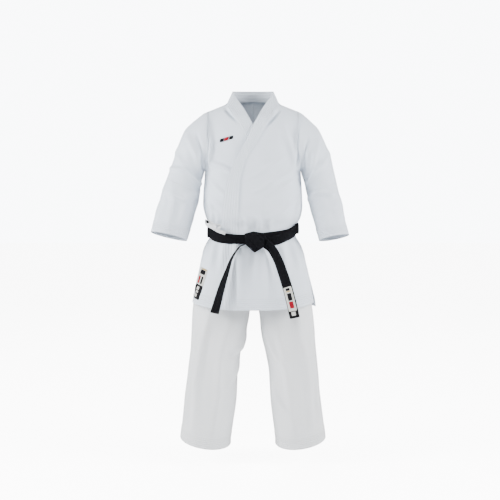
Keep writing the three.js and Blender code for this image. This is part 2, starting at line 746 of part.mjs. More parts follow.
const SKIRT_TOP = SKIRT_SPLIT - SKIRT_SPLIT_GAP;
const SKIRT_HEM_TOP = JACKET_HEM + SKIRT_HEM_WIDTH;
const skirtHeight = (v) => mix(JACKET_HEM, SKIRT_TOP, v);
for (const [name, side] of [["left", 1], ["right", -1]]) {
  const over = side > 0;
  add(jacket, "front_panel_" + name, frontPanel(over, SKIRT_SPLIT), jacketCanvas());
  add(jacket, "back_panel_" + name, backPanel(side, SKIRT_SPLIT), jacketCanvas());
  add(jacket, "shoulder_lining_" + name, shoulderLining(side), jacketCanvas());
  add(jacket, "lapel_" + name, lapelBand(over, lapelHeight, LAPEL_ROWS), jacketCanvas());
  add(jacket, "skirt_lapel_" + name, lapelBand(over, skirtHeight, 5), jacketCanvas());
  add(jacket, "front_skirt_" + name, skirtPanel(over, SKIRT_TOP, SKIRT_HEM_TOP + 1, CLOTH), jacketCanvas());
  const hemPanel = skirtPanel(over, SKIRT_HEM_TOP, JACKET_HEM, HEM_THICKNESS);
  add(jacket, "front_hem_" + name, hemPanel, jacketCanvas());
  add(jacket, "vent_patch_" + name, ventPatch(side), jacketCanvas());

  const sleeve = sleeveShape(name);
  add(jacket, "sleeve_head_" + name, sleevePiece(sleeve, 0, 1.97, 5), jacketCanvas());
  add(jacket, "sleeve_upper_" + name, sleevePiece(sleeve, 2, 3.97, 4), jacketCanvas());
  add(jacket, "sleeve_elbow_" + name, sleevePiece(sleeve, 4, 4.98, 3), jacketCanvas());
  add(jacket, "sleeve_end_" + name, sleevePiece(sleeve, 5, 6.36, 3), jacketCanvas());
  const cuffHem = sleevePiece(sleeve, 7 - CUFF_HEM / 64, 7, 1, HEM_THICKNESS);
  add(jacket, "cuff_hem_" + name, cuffHem, jacketCanvas());

  const hemTop = (angle) => legHem(angle) + LEG_HEM_WIDTH;
  const kneeTop = KNEE + KNEE_BAND / 2;
  const kneeLow = KNEE - KNEE_BAND / 2;
  const legTop = (angle) => hipCut(Math.abs(leg(700, 3) * Math.sin(angle)), 3);
  add(trousers, "trouser_seat_" + name, trouserSeat(side), trouserCanvas());
  add(trousers, "trouser_leg_" + name, legPiece(side, legTop, () => kneeTop + 1, 5), trouserCanvas());
  add(trousers, "trouser_knee_" + name, legPiece(side, () => kneeTop, () => kneeLow, 3), trouserCanvas());
  const lower = legPiece(side, () => kneeLow - 1, (a) => hemTop(a) + 1, 6);
  add(trousers, "lower_leg_" + name, lower, trouserCanvas());
  add(trousers, "leg_hem_" + name, legPiece(side, hemTop, legHem, 1, HEM_THICKNESS), trouserCanvas());

  const strap = strapShape(BELT_ENDS[name]);
  add(belt, "belt_end_" + name, clothPanel(strap.surface, 2, 16, BELT_THICKNESS, strap.core), beltCotton());
}

function legHem(angle) {
  return LEG_HEM_HEIGHT + 11 * Math.cos(angle) + 10 * Math.sin(angle);
}

add(jacket, "back_skirt", backSkirt(SKIRT_TOP, SKIRT_HEM_TOP + 1, CLOTH), jacketCanvas());
add(jacket, "back_hem", backSkirt(SKIRT_HEM_TOP, JACKET_HEM, HEM_THICKNESS), jacketCanvas());
add(jacket, "neck_collar", neckCollar(), jacketCanvas());

add(belt, "belt_inner_wrap", beltWrap(beltInner), beltCotton());
add(belt, "belt_outer_wrap", beltWrap(beltOuter), beltCotton());
const knot = add(belt, "belt_knot", beltKnot().rotateX(Math.PI / 2), beltCotton());
knot.position.set(KNOT_X, KNOT_BACK - 5, KNOT_HEIGHT);

const bandLoop = (angle, grow, rise) => bodyRing(angle, WAIST_LOW, grow).add(point(0, 0, rise));
const casing = [
  [-TROUSER_CLEARANCE, 0],
  [-TROUSER_CLEARANCE, WAISTBAND_HEIGHT],
  [-TROUSER_CLEARANCE - 9, WAISTBAND_HEIGHT],
  [-TROUSER_CLEARANCE - 9, 0],
  [-TROUSER_CLEARANCE - 7, 0],
  [-TROUSER_CLEARANCE - 7, WAISTBAND_HEIGHT - 2],
  [-TROUSER_CLEARANCE - 2, WAISTBAND_HEIGHT - 2],
  [-TROUSER_CLEARANCE - 2, 0],
];
// Sets a flat plate on a face: its back just clear of the point, turned to the face's normal.
const PLATE_GAP = 0.8;
const bodyCore = (p) => point(p.x * 0.7, 0, p.z);
function setOn(mesh, surface, v, lean, gap = PLATE_GAP, core = bodyCore) {
  const u = 0.5;
  const normal = outward(surface, u, v, core);
  const up = point(Math.sin(lean), 0, Math.cos(lean));
  up.addScaledVector(normal, -up.dot(normal)).normalize();
  const back = normal.clone().negate();
  mesh.quaternion.setFromRotationMatrix(
    new THREE.Matrix4().makeBasis(new THREE.Vector3().crossVectors(back, up), back, up),
  );
  mesh.position.copy(surface(u, v)).addScaledVector(normal, gap);
}

const patchOfFront = (x, z, reach) => (u, v) =>
  frontPoint(false, mix(x - reach, x + reach, u), mix(z - reach, z + reach, v));
const badge = add(jacket, "chest_badge", labelPlate(57, 14, 1.2), badgeThread());
setOn(badge, patchOfFront(102, 1296, 20), 0.5, 0.26);
const hemLabel = add(jacket, "hem_label", labelPlate(34, 118, 1.4), labelWeave());
setOn(hemLabel, patchOfFront(209, 722, 12), 0.5, 0.3, 2.2);
const outerTie = add(jacket, "side_tie_outer", tieBow(26), tieCotton());
setOn(outerTie, patchOfFront(163, 976, 8), 0.5, -0.4, 3);
const innerTie = add(jacket, "side_tie_inner", tieBow(18), tieCotton());
setOn(innerTie, (u, v) => bodyPoint(mix(150, 158, u), mix(1026, 1034, v), -1, -20), 0.5, 0);
const beltLabel = add(belt, "belt_end_label", labelPlate(36, 104, 1.2), labelWeave());
const labelStrap = strapShape(BELT_ENDS.left);
setOn(beltLabel, labelStrap.surface, 0.8, 0, 1, labelStrap.core);

add(trousers, "trouser_waistband", hoop(bandLoop, casing, 32), trouserCanvas());
const elastic = [
  [-TROUSER_CLEARANCE - 3.4, 3],
  [-TROUSER_CLEARANCE - 3.4, WAISTBAND_HEIGHT - 4],
  [-TROUSER_CLEARANCE - 5.6, WAISTBAND_HEIGHT - 4],
  [-TROUSER_CLEARANCE - 5.6, 3],
];
add(trousers, "waist_elastic", hoop(bandLoop, elastic, 32), elasticRubber());
add(trousers, "crotch_gusset", gusset(), trouserCanvas());

export default uniform;
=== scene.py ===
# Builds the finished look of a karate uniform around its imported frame: a wrap jacket of heavy canvas,
# wide trousers, a stitched black belt, woven labels and an embroidered badge, in metres.
import math

import bmesh
import bpy
import numpy as np
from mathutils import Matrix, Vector, noise


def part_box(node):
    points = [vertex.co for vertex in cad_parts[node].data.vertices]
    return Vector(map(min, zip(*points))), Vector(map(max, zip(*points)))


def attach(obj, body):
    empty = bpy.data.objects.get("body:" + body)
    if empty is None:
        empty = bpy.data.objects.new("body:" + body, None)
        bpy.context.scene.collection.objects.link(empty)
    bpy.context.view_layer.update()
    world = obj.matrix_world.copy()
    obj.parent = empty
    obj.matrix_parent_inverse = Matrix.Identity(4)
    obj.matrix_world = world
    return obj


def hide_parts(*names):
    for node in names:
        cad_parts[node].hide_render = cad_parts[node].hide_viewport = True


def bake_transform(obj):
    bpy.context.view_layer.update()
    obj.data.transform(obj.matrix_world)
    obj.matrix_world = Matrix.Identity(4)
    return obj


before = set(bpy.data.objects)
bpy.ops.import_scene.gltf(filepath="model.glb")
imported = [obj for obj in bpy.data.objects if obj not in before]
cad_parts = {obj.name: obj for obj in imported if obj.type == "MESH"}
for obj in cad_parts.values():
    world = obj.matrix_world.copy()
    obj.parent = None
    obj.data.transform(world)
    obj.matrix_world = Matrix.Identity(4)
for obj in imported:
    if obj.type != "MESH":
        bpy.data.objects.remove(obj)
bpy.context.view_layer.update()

bl_info = {
    "name": "Karate Uniform",
    "version": (1, 0, 0),
    "blender": (4, 5, 0),
    "location": "3D View > Sidebar > Uniform",
    "description": "Makes a worn karate uniform with its belt around a packed frame",
    "category": "Add Mesh",
}

# Heights are given above the floor, as the uniform is worn, and lowered to the frame's origin.
FLOOR = -1.437
CANVAS = 0.0014
BELT_WIDTH = 0.040
BELT_THICKNESS = 0.0036
SIDES = (("left", 1), ("right", -1))
FOLD_DEPTH = 2.0


def mix(a, b, t):
    return a + (b - a) * t


def ease(start, end, value):
    t = np.clip((value - start) / (end - start), 0.0, 1.0)
    return t * t * (3 - 2 * t)


def through(rows):
    """A smooth curve through rows of (key, value, value...): read(key, column)."""
    table = np.array(sorted(rows), float)
    keys = table[:, 0]

    def read(key, column=1):
        values = table[:, column]
        slopes = np.gradient(values, keys)
        key = np.clip(key, keys[0], keys[-1])
        i = np.clip(np.searchsorted(keys, key) - 1, 0, len(keys) - 2)
        span = keys[i + 1] - keys[i]
        t = (key - keys[i]) / span
        bow = (t * (1 - t) ** 2 * slopes[i] - t * t * (1 - t) * slopes[i + 1]) * span
        return mix(values[i], values[i + 1], t * t * (3 - 2 * t)) + bow

    return read


# ---- the garment's shape ------------------------------------------------------------------------

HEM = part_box("front_hem_left")[0][2] - FLOOR
BELT = 0.932
ARMPIT = 1.170
SHOULDER_TIP = 1.405
ARMHOLE_MIDDLE = (ARMPIT + SHOULDER_TIP) / 2
NECK_HALF = 0.105
SHOULDER_HALF = 0.185
OVERLAP = 0.0055
ROUNDNESS = 2.4
V_POINT = 1.354

# Half-width and half-depth of the jacket by height.
torso = through(
    [
        (HEM, 0.2435, 0.172),
        (0.700, 0.2300, 0.160),
        (0.790, 0.2130, 0.144),
        (0.842, 0.2020, 0.127),
        (0.885, 0.1860, 0.118),
        (0.912, 0.1700, 0.117),
        (BELT, 0.1675, 0.117),
        (0.955, 0.1700, 0.119),
        (0.985, 0.1870, 0.133),
        (1.020, 0.1960, 0.140),
        (1.080, 0.1960, 0.140),
        (ARMPIT, 0.1900, 0.136),
        (1.230, 0.1850, 0.130),
        (SHOULDER_TIP, 0.1850, 0.126),
    ]
)

# The left front's free edge and band seam, by height: x towards the wearer's left.
free_edge = through(
    [
        (HEM - 0.01, -0.116),
        (BELT, -0.126),
        (1.037, -0.118),
        (1.160, -0.093),
        (1.215, -0.068),
        (1.300, -0.024),
        (V_POINT, 0.002),
        (1.420, 0.040),
        (1.470, 0.072),
    ]
)
band_seam = through(
    [
        (HEM - 0.01, -0.057),
        (BELT, -0.054),
        (1.060, -0.052),
        (1.152, -0.045),
        (1.210, -0.026),
        (1.279, 0.016),
        (V_POINT, 0.055),
        (1.400, 0.084),
        (1.437, NECK_HALF),
    ]
)


def shoulder_line(x):
    return mix(1.437, SHOULDER_TIP, (np.abs(x) - NECK_HALF) / (SHOULDER_HALF - NECK_HALF))


def body_point(x, h, facing, grow=0.0):
    """A point of the jacket's body: facing is -1 in front and 1 behind, grow moves it outwards."""
    half = torso(h) + grow
    across = np.minimum(1.0, np.abs(x) / half)
    drop = np.minimum(0.0, (h - ARMHOLE_MIDDLE) / (ARMHOLE_MIDDLE - ARMPIT))
    arm = np.where(h > ARMPIT, 0.100 * np.sqrt(np.clip(1 - drop * drop, 0, 1)), 0.0) * across**6
    bulge = np.clip(1 - across**ROUNDNESS, 0, 1) ** (1 / ROUNDNESS)
    depth = arm + (torso(h, 2) + grow - arm) * bulge
    top = shoulder_line(x) + grow
    rise = np.clip((h - ARMHOLE_MIDDLE) / (top - ARMHOLE_MIDDLE), 0, 1)
    depth = depth * np.sqrt(1 - rise * rise)
    return np.stack([x, facing * depth, h + FLOOR + 0 * x], -1)


def body_ring(angle, h, grow):
    """A closed ring of the jacket below the armpits."""
    power = 2 / ROUNDNESS
    c, s = np.cos(angle), np.sin(angle)
    x = (torso(h) + grow) * np.sign(c) * np.abs(c) ** power
    y = (torso(h, 2) + grow) * np.sign(s) * np.abs(s) ** power
    return np.stack([x, y, h + FLOOR + 0 * x], -1)


def over_grow(x):
    return OVERLAP * (1 - ease(0.050, 0.168, x))


def belt_line(x, facing):
    """Height of the belt's middle line: lowest in front, and a little higher on the wearer's left."""
    dip = np.where(np.asarray(facing) < 0, -0.028, 0.012)
    round_body = np.sqrt(np.clip(1 - (np.abs(x) / torso(BELT)) ** ROUNDNESS, 0, 1))
    return BELT + 0.004 + 0.045 * x + dip * round_body


def front_point(side, x, h, extra=0.0):
    """A point of a front: x counts towards the front's own side, and the left front lies on top."""
    grow = over_grow(x) if side > 0 else over_grow(-x) - OVERLAP
    points = body_point(side * x, h, -1, 0.0)
    shift = body_point(side * x, h, -1, 0.004) - points
    length = np.linalg.norm(shift, axis=-1, keepdims=True)
    return points + shift / np.maximum(length, 1e-6) * (grow + extra)[..., None]


# ---- folds --------------------------------------------------------------------------------------


def distance_to_path(px, pz, path):
    """Distance of points to a polyline in the (x, height) plane, and how far along it they fall."""
    best = np.full(px.shape, 9.0)
    along = np.zeros(px.shape)
    path = np.array(path, float)
    for i, (a, b) in enumerate(zip(path[:-1], path[1:])):
        d = b - a
        t = np.clip(((px - a[0]) * d[0] + (pz - a[1]) * d[1]) / (d @ d), 0, 1)
        gap = np.hypot(px - a[0] - t * d[0], pz - a[1] - t * d[1])
        closer = gap < best
        best = np.where(closer, gap, best)
        along = np.where(closer, (i + t) / (len(path) - 1), along)
    return best, along


def crease(px, pz, path, width, height):
    """A soft fold along a path: a ridge with a shallow valley to each side, fading at both ends."""
    height = height * FOLD_DEPTH
    gap, along = distance_to_path(px, pz, path)
    fade = np.sin(np.pi * np.clip(along, 0.02, 0.98)) ** 0.6
    q = (gap / width) ** 2
    return height * fade * (np.exp(-q) * 1.35 - np.exp(-q / 4) * 0.35)


def rumple(points, size, height, seed, stretch=(1.0, 1.0, 1.0)):
    """Uneven, smooth rumpling of the cloth, the same on every run."""
    flat = points.reshape(-1, 3) * np.array(stretch) / size + seed * 7.31
    values = [noise.fractal(Vector(p), 1.0, 2.0, 2) for p in flat]
    return np.array(values).reshape(points.shape[:-1]) * height


def normals_of(grid, closed):
    """Outward-facing unit normals of a grid of points, from its neighbours."""
    if closed:
        du = np.roll(grid, -1, 1) - np.roll(grid, 1, 1)
    else:
        du = np.gradient(grid, axis=1)
    dv = np.gradient(grid, axis=0)
    n = np.cross(du, dv)
    return n / np.maximum(np.linalg.norm(n, axis=-1, keepdims=True), 1e-9)


# ---- meshes -------------------------------------------------------------------------------------


def grid_faces(rows, columns, closed):
    last = columns if closed else columns - 1
    faces = []
    for j in range(rows - 1):
        for i in range(last):
            k = (i + 1) % columns
            a, b = j * columns + i, j * columns + k
            faces.append((a, b, b + columns, a + columns))
    return faces


def cloth_lengths(grid, closed):
    """Distances across and along a grid, in metres, for the weave's own map."""
    step_u = np.linalg.norm(np.diff(grid, axis=1), axis=-1).mean(0)
    u = np.concatenate([[0], np.cumsum(step_u)])
    if closed:
        u = np.append(u, u[-1] + step_u.mean())
    step_v = np.linalg.norm(np.diff(grid, axis=0), axis=-1).mean(1)
    return u, np.concatenate([[0], np.cumsum(step_v)])


def mesh_from_grid(name, grid, closed=False, centre=None):
    """A mesh object of a grid of points, its faces pointing away from centre, with a map in metres."""
    rows, columns = grid.shape[:2]
    faces = grid_faces(rows, columns, closed)
    flat = grid.reshape(-1, 3)
    middle = rows // 2 * columns + columns // 2
    n = normals_of(grid, closed).reshape(-1, 3)
    core = np.array([0, 0, flat[middle][2]]) if centre is None else np.asarray(centre, float)
    if (n * (flat - core)).sum() < 0:
        faces = [tuple(reversed(f)) for f in faces]
    mesh = bpy.data.meshes.new(name)
    mesh.from_pydata(flat.tolist(), [], faces)
    u, v = cloth_lengths(grid, closed)
    layer = mesh.uv_layers.new(name="cloth")
    for polygon in mesh.polygons:
        corner = [mesh.loops[i].vertex_index for i in polygon.loop_indices]
        columns_here = [k % columns for k in corner]
        wraps = closed and max(columns_here) - min(columns_here) > 1
        for i, k, c in zip(polygon.loop_indices, corner, columns_here):
            layer.data[i].uv = (u[columns if wraps and c == 0 else c], v[k // columns])
    mesh.shade_smooth()
    obj = bpy.data.objects.new(name, mesh)
    bpy.context.collection.objects.link(obj)
    return obj


def thicken(obj, thickness, offset=-1.0, levels=1):
    """Gives cloth its wall and its smooth surface, kept as modifiers."""
    solid = obj.modifiers.new("wall", "SOLIDIFY")
    solid.thickness = thickness
    solid.offset = offset
    solid.edge_crease_inner = solid.edge_crease_outer = 1.0
    smooth = obj.modifiers.new("smooth", "SUBSURF")
    smooth.levels = smooth.render_levels = levels
    return obj


# ---- materials ----------------------------------------------------------------------------------


class Nodes:
    """Adds and links shader nodes in a few words."""

    def __init__(self, tree):
        self.tree = tree

    def add(self, kind, **values):
        node = self.tree.nodes.new("ShaderNode" + kind)
        for key, value in values.items():
            setattr(node, key, value)
        return node

    def link(self, out, into):
        self.tree.links.new(out, into)

    def math(self, operation, a, b=None):
        node = self.add("Math", operation=operation)
        for i, value in enumerate((a, b)):
            if value is None:
                continue
            if isinstance(value, (int, float)):
                node.inputs[i].default_value = value
            else:
                self.link(value, node.inputs[i])
        return node.outputs[0]


def new_group(name, inputs, outputs):
    tree = bpy.data.node_groups.new(name, "ShaderNodeTree")
    for label, default in inputs:
        socket = tree.interface.new_socket(label, in_out="INPUT", socket_type="NodeSocketFloat")
        socket.default_value = default
    for label in outputs:
        tree.interface.new_socket(label, in_out="OUTPUT", socket_type="NodeSocketFloat")
    n = Nodes(tree)
    return tree, n, tree.nodes.new("NodeGroupInput"), tree.nodes.new("NodeGroupOutput")


def weave_group():
    """A plain weave on the cloth's own map: thread height, and where a thread passes over."""
    if "PlainWeave" in bpy.data.node_groups:
        return bpy.data.node_groups["PlainWeave"]
    tree, n, source, sink = new_group("PlainWeave", [("Threads", 900.0), ("Slub", 0.3)], ["Height", "Over"])
    place = n.add("UVMap", uv_map="cloth")
    split = n.add("SeparateXYZ")
    n.link(place.outputs[0], split.inputs[0])
    scaled = [n.math("MULTIPLY", split.outputs[i], source.outputs["Threads"]) for i in (0, 1)]
    waves = [n.math("ABSOLUTE", n.math("SINE", n.math("MULTIPLY", s, math.pi))) for s in scaled]
    cells = n.math("ADD", n.math("FLOOR", scaled[0]), n.math("FLOOR", scaled[1]))
    over = n.math("ABSOLUTE", n.math("MODULO", cells, 2.0))
    under = n.math("SUBTRACT", 1.0, over)
    thread = n.math("ADD", n.math("MULTIPLY", waves[0], over), n.math("MULTIPLY", waves[1], under))
    slub = n.add("TexNoise")
    slub.inputs["Scale"].default_value = 320.0
    slub.inputs["Detail"].default_value = 2.0
    n.link(place.outputs[0], slub.inputs["Vector"])
    uneven = n.math("MULTIPLY", n.math("SUBTRACT", slub.outputs[0], 0.5), source.outputs["Slub"])
    n.link(n.math("ADD", thread, uneven), sink.inputs["Height"])
    n.link(over, sink.inputs["Over"])
    return tree


def mottle_group():
    """Uneven shade of washed cotton: broad clouds and short fibres, from 0 to 1."""
    if "CottonMottle" in bpy.data.node_groups:
        return bpy.data.node_groups["CottonMottle"]
    tree, n, source, sink = new_group("CottonMottle", [("Clouds", 9.0), ("Fibres", 420.0)], ["Shade"])
    place = n.add("TexCoord")
    clouds = n.add("TexNoise")
    fibres = n.add("TexNoise")
    for node, label in ((clouds, "Clouds"), (fibres, "Fibres")):
        n.link(place.outputs["Object"], node.inputs["Vector"])
        n.link(source.outputs[label], node.inputs["Scale"])
        node.inputs["Detail"].default_value = 3.0
    n.link(n.math("ADD", n.math("MULTIPLY", clouds.outputs[0], 0.6),
        n.math("MULTIPLY", fibres.outputs[0], 0.4)), sink.inputs["Shade"])
    return tree


def stitch_group():
    """Rows of lock stitches from the marks on the cloth: the thread, and the dip it pulls."""
    if "StitchRows" in bpy.data.node_groups:
        return bpy.data.node_groups["StitchRows"]
    tree, n, source, sink = new_group("StitchRows", [("Stitch", 0.0030), ("Width", 0.0007)],
        ["Thread", "Dip"])
    row, run, pitch = (n.add("Attribute", attribute_name=a).outputs["Fac"] for a in ("stitch_row",
        "stitch_run", "stitch_pitch"))
    nearest = n.math("MAXIMUM", n.math("ROUND", row), 0.0)
    away = n.math("MULTIPLY", n.math("ABSOLUTE", n.math("SUBTRACT", row, nearest)), pitch)
    marked = n.math("GREATER_THAN", pitch, 0.001)
    beat = n.math("FRACT", n.math("DIVIDE", run, source.outputs["Stitch"]))
    dash = n.math("LESS_THAN", n.math("ABSOLUTE", n.math("SUBTRACT", beat, 0.5)), 0.36)
    on = n.math("MULTIPLY", n.math("LESS_THAN", away, source.outputs["Width"]), marked)
    n.link(n.math("MULTIPLY", on, dash), sink.inputs["Thread"])
    near = n.math("SUBTRACT", 1.0, n.math("MULTIPLY", away, 1 / 0.0026))
    n.link(n.math("MULTIPLY", n.math("MAXIMUM", near, 0.0), marked), sink.inputs["Dip"])
    return tree


def new_material(name):
    material = bpy.data.materials.new(name)
    material.use_nodes = True
    n = Nodes(material.node_tree)
    return material, n, material.node_tree.nodes["Principled BSDF"]


def use_group(n, tree, **values):
    node = n.add("Group", node_tree=tree)
    for key, value in values.items():
        node.inputs[key].default_value = value
    return node


def mix_colors(n, factor, a, b):
    """A colour between a and b by factor; each may be a socket or an (r, g, b)."""
    node = n.add("Mix", data_type="RGBA")
    n.link(factor, node.inputs["Factor"])
    for value, socket in ((a, node.inputs[6]), (b, node.inputs[7])):
        if isinstance(value, tuple):
            socket.default_value = (*value, 1.0)
        else:
            n.link(value, socket)
    return node.outputs[2]


def cotton(name, light, dark, threads, bump, roughness=0.86, sheen=0.25, stitch=0.93, specular=0.25):
    """Woven cotton: two close shades, painted shade in the gaps between threads and along the dips beside the
    stitch rows, thread relief, rows of stitches and a soft sheen.
    """
    material, n, shader = new_material(name)
    weave = use_group(n, weave_group(), Threads=threads)
    mottle = use_group(n, mottle_group())
    contrast = n.add("MapRange")
    n.link(mottle.outputs[0], contrast.inputs["Value"])
    contrast.inputs["From Min"].default_value = 0.35
    contrast.inputs["From Max"].default_value = 0.65
    shade = mix_colors(n, contrast.outputs[0], dark, light)
    # Painted shade: in the gaps between threads, where the weave is low, the colour darkens towards dark *
    # 0.72.
    thread_gap_shade = n.math("MULTIPLY", n.math("SUBTRACT", 1.0, weave.outputs["Height"]), 0.22)
    gap_shaded = mix_colors(n, thread_gap_shade, shade, tuple(c * 0.72 for c in dark))
    stitches = use_group(n, stitch_group())
    # Painted shade: along the dip that each stitch row pulls, the colour moves towards dark * stitch * 0.9.
    dip_shaded = mix_colors(n, n.math("MULTIPLY", stitches.outputs["Dip"], 0.45), gap_shaded,
        tuple(c * stitch * 0.9 for c in dark))
    n.link(mix_colors(n, stitches.outputs["Thread"], dip_shaded, tuple(c * stitch for c in light)),
        shader.inputs["Base Color"])
    threads_up = n.add("Bump")
    threads_up.inputs["Strength"].default_value = bump
    threads_up.inputs["Distance"].default_value = 0.0005
    n.link(weave.outputs["Height"], threads_up.inputs["Height"])
    rows_down = n.add("Bump", invert=True)
    rows_down.inputs["Strength"].default_value = 0.9
    rows_down.inputs["Distance"].default_value = 0.0012
    n.link(stitches.outputs["Dip"], rows_down.inputs["Height"])
    n.link(threads_up.outputs[0], rows_down.inputs["Normal"])
    n.link(rows_down.outputs[0], shader.inputs["Normal"])
    shader.inputs["Roughness"].default_value = roughness
    shader.inputs["Sheen Weight"].default_value = sheen
    shader.inputs["Sheen Roughness"].default_value = 0.5
    shader.inputs["Specular IOR Level"].default_value = specular
    return material


MATERIALS = {}

# Colour, darker colour (of the mottle, and the base of the painted shade in the weave's gaps and the stitch
# dips), threads a metre, bump, roughness, sheen, stitch shade (of the thread, and of the painted shade in the
# stitch dips), specular.
FINISHES = {
    "tie_cotton": ((0.83, 0.84, 0.86), (0.78, 0.79, 0.82), 1300, 0.4),
    "label_white": ((0.52, 0.52, 0.49), (0.47, 0.47, 0.44), 2600, 0.25, 0.45, 0.1),
    "label_black": ((0.006, 0.006, 0.007), (0.004, 0.004, 0.005), 2600, 0.25, 0.6, 0.0, 1.0, 0.08),
    "thread_black": ((0.006, 0.006, 0.008), (0.003, 0.003, 0.004), 2200, 0.8, 0.6, 0.0, 1.0, 0.08),
    "thread_red": ((0.30, 0.006, 0.02), (0.22, 0.004, 0.012), 2200, 0.8, 0.6, 0.0, 1.0, 0.08),
    "thread_gold": ((0.50, 0.33, 0.08), (0.36, 0.22, 0.05), 2200, 0.8, 0.42, 0.2),
}

# The finishes whose colour is a setting: the setting, the factor for its darker colour (of the mottle, and
# the base of the painted shade in the weave), then as above.
SET_FINISHES = {
    "jacket_canvas": ("jacket", 0.965, 900, 0.35),
    "trouser_canvas": ("trousers", 0.96, 1000, 0.3),
    "belt_cotton": ("belt", 0.6, 1100, 0.6, 0.8, 0.0, 1.5, 0.06),
}


def finish_named(name):
    """The finish of that name, made once."""
    if name not in MATERIALS:
        if name in SET_FINISHES:
            setting, shade, *weave = SET_FINISHES[name]
            colour = tuple(getattr(bpy.context.scene.uniform_finish, setting))
            MATERIALS[name] = cotton(name, colour, tuple(c * shade for c in colour), *weave)
        else:
            MATERIALS[name] = cotton(name, *FINISHES[name])
    return MATERIALS[name]


def dress(obj, finish):
    """Gives a piece its finish."""
    obj.data.materials.clear()
    obj.data.materials.append(finish_named(finish))
    return obj


# ---- cloth pieces -------------------------------------------------------------------------------


def lattice(rows, columns):
    """Fractions along the rows and across the columns of a grid; either may be a list of fractions."""
    v = np.linspace(0, 1, rows) if isinstance(rows, int) else np.asarray(rows, float)
    u = np.linspace(0, 1, columns) if isinstance(columns, int) else np.asarray(columns, float)
    vv, uu = np.meshgrid(v, u, indexing="ij")
    return uu, vv


def moved(grid, amount, closed=False, core=(0.0, 0.0)):
    """The grid with each point moved outwards, away from the core's upright line, by its amount."""
    n = normals_of(grid, closed)
    away = grid[..., :2] - np.asarray(core, float)
    sign = np.sign((n[..., :2] * away).sum(-1).mean()) or 1.0
    return grid + sign * n * np.asarray(amount)[..., None]


def stitched(obj, row, run, pitch):
    """Marks rows of stitches on the cloth: row counts them, run is metres along them."""
    for name, values in (("stitch_row", row), ("stitch_run", run), ("stitch_pitch", pitch + 0 * run)):
        attribute = obj.data.attributes.new(name, "FLOAT", "POINT")
        attribute.data.foreach_set("value", np.asarray(values, np.float32).ravel())


def lay_on(grid, target, lift):
    """The points of a grid moved onto another piece's cloth, lifted off it by a height."""
    flat = grid.reshape(-1, 3)
    out = []
    for p in flat:
        _, place, normal, _ = target.closest_point_on_mesh(Vector(p))
        outwards = 1 if normal.x * place.x + normal.y * place.y > 0 else -1
        out.append(place + normal * (lift * outwards))
    return np.array(out).reshape(grid.shape)


def cloth_piece(obj, nodes, finish, slot_name, flat, held, rests, body=None, bend=None, thickness=CANVAS,
    offset=-1.0, levels=1, area=None):
    """Finishes a sheet of cloth: its wall, its colour, the solids it stands for, and the body whose empty it
    hangs from; given a bend, it only has its place baked into its mesh.
    """
    thicken(obj, thickness, offset, levels)
    dress(obj, finish)
    if nodes:
        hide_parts(*nodes)
    if bend:
        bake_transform(obj)
    else:
        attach(obj, body)
    return obj


def jacket_cloth(obj, nodes, *form, **motion):
    """A sheet of the jacket's canvas."""
    return cloth_piece(obj, nodes, "jacket_canvas", "jacket_canvas", *form, **motion)


def trouser_cloth(obj, nodes, *form, **motion):
    """A sheet of the trousers' canvas."""
    return cloth_piece(obj, nodes, "trouser_canvas", "trouser_canvas", *form, **motion)


# The bodies that each hanging skirt would bend between, and the heights where that bend would start and end;
# only the presence of this bend is used, to bake the skirt's place into its mesh.
FRONT_LIFT = ("uniform_body", "front_skirt", (0, -0.12, 0.862 + FLOOR), (0, -0.12, 0.805 + FLOOR))
BACK_LIFT = ("uniform_body", "back_skirt", (0, 0.12, 0.862 + FLOOR), (0, 0.12, 0.805 + FLOOR))


# Creases of the jacket's front as worn: path in (x, height), width, height of the ridge.
FRONT_CREASES = [
    ([(-0.186, 1.212), (-0.125, 1.190), (-0.068, 1.160)], 0.0080, 0.0072),
    ([(-0.112, 1.418), (-0.086, 1.392), (-0.062, 1.364)], 0.0080, -0.0068),
    ([(0.104, 1.408), (0.078, 1.380), (0.050, 1.346)], 0.0080, -0.0068),
    ([(-0.181, 1.325), (-0.182, 1.262), (-0.183, 1.178)], 0.0065, -0.0070),
    ([(-0.166, 1.320), (-0.168, 1.260), (-0.172, 1.190)], 0.0080, 0.0042),
    ([(0.184, 1.330), (0.180, 1.241), (0.168, 1.172)], 0.0065, -0.0066),
    ([(0.110, 1.347), (0.146, 1.270), (0.166, 1.190)], 0.0120, 0.0036),
    ([(0.176, 1.184), (0.110, 1.146), (0.004, 1.088)], 0.0095, 0.0036),
    ([(0.130, 1.226), (0.050, 1.180), (-0.028, 1.135)], 0.0090, 0.0026),
    ([(0.180, 1.150), (0.110, 1.104), (0.026, 1.066)], 0.0090, 0.0030),
    ([(0.188, 1.110), (0.180, 1.030), (0.166, 0.960)], 0.0110, 0.0045),
    ([(0.172, 1.060), (0.120, 1.020), (0.056, 0.985)], 0.0090, 0.0034),
    ([(-0.180, 1.150), (-0.140, 1.104), (-0.100, 1.070)], 0.0090, 0.0028),
    ([(-0.184, 1.080), (-0.150, 1.050), (-0.118, 1.034)], 0.0090, 0.0024),
    ([(-0.176, 1.060), (-0.158, 1.010), (-0.160, 0.955)], 0.0095, 0.0042),
    ([(-0.146, 1.020), (-0.136, 0.985), (-0.142, 0.950)], 0.0075, 0.0030),
    ([(-0.106, 1.010), (-0.098, 0.975), (-0.104, 0.945)], 0.0075, 0.0022),
    ([(-0.030, 0.990), (-0.020, 0.965), (-0.024, 0.925)], 0.0070, 0.0034),
    ([(0.018, 1.000), (0.026, 0.965), (0.020, 0.925)], 0.0075, 0.0046),
    ([(0.070, 0.990), (0.064, 0.965), (0.074, 0.935)], 0.0070, 0.0026),
]


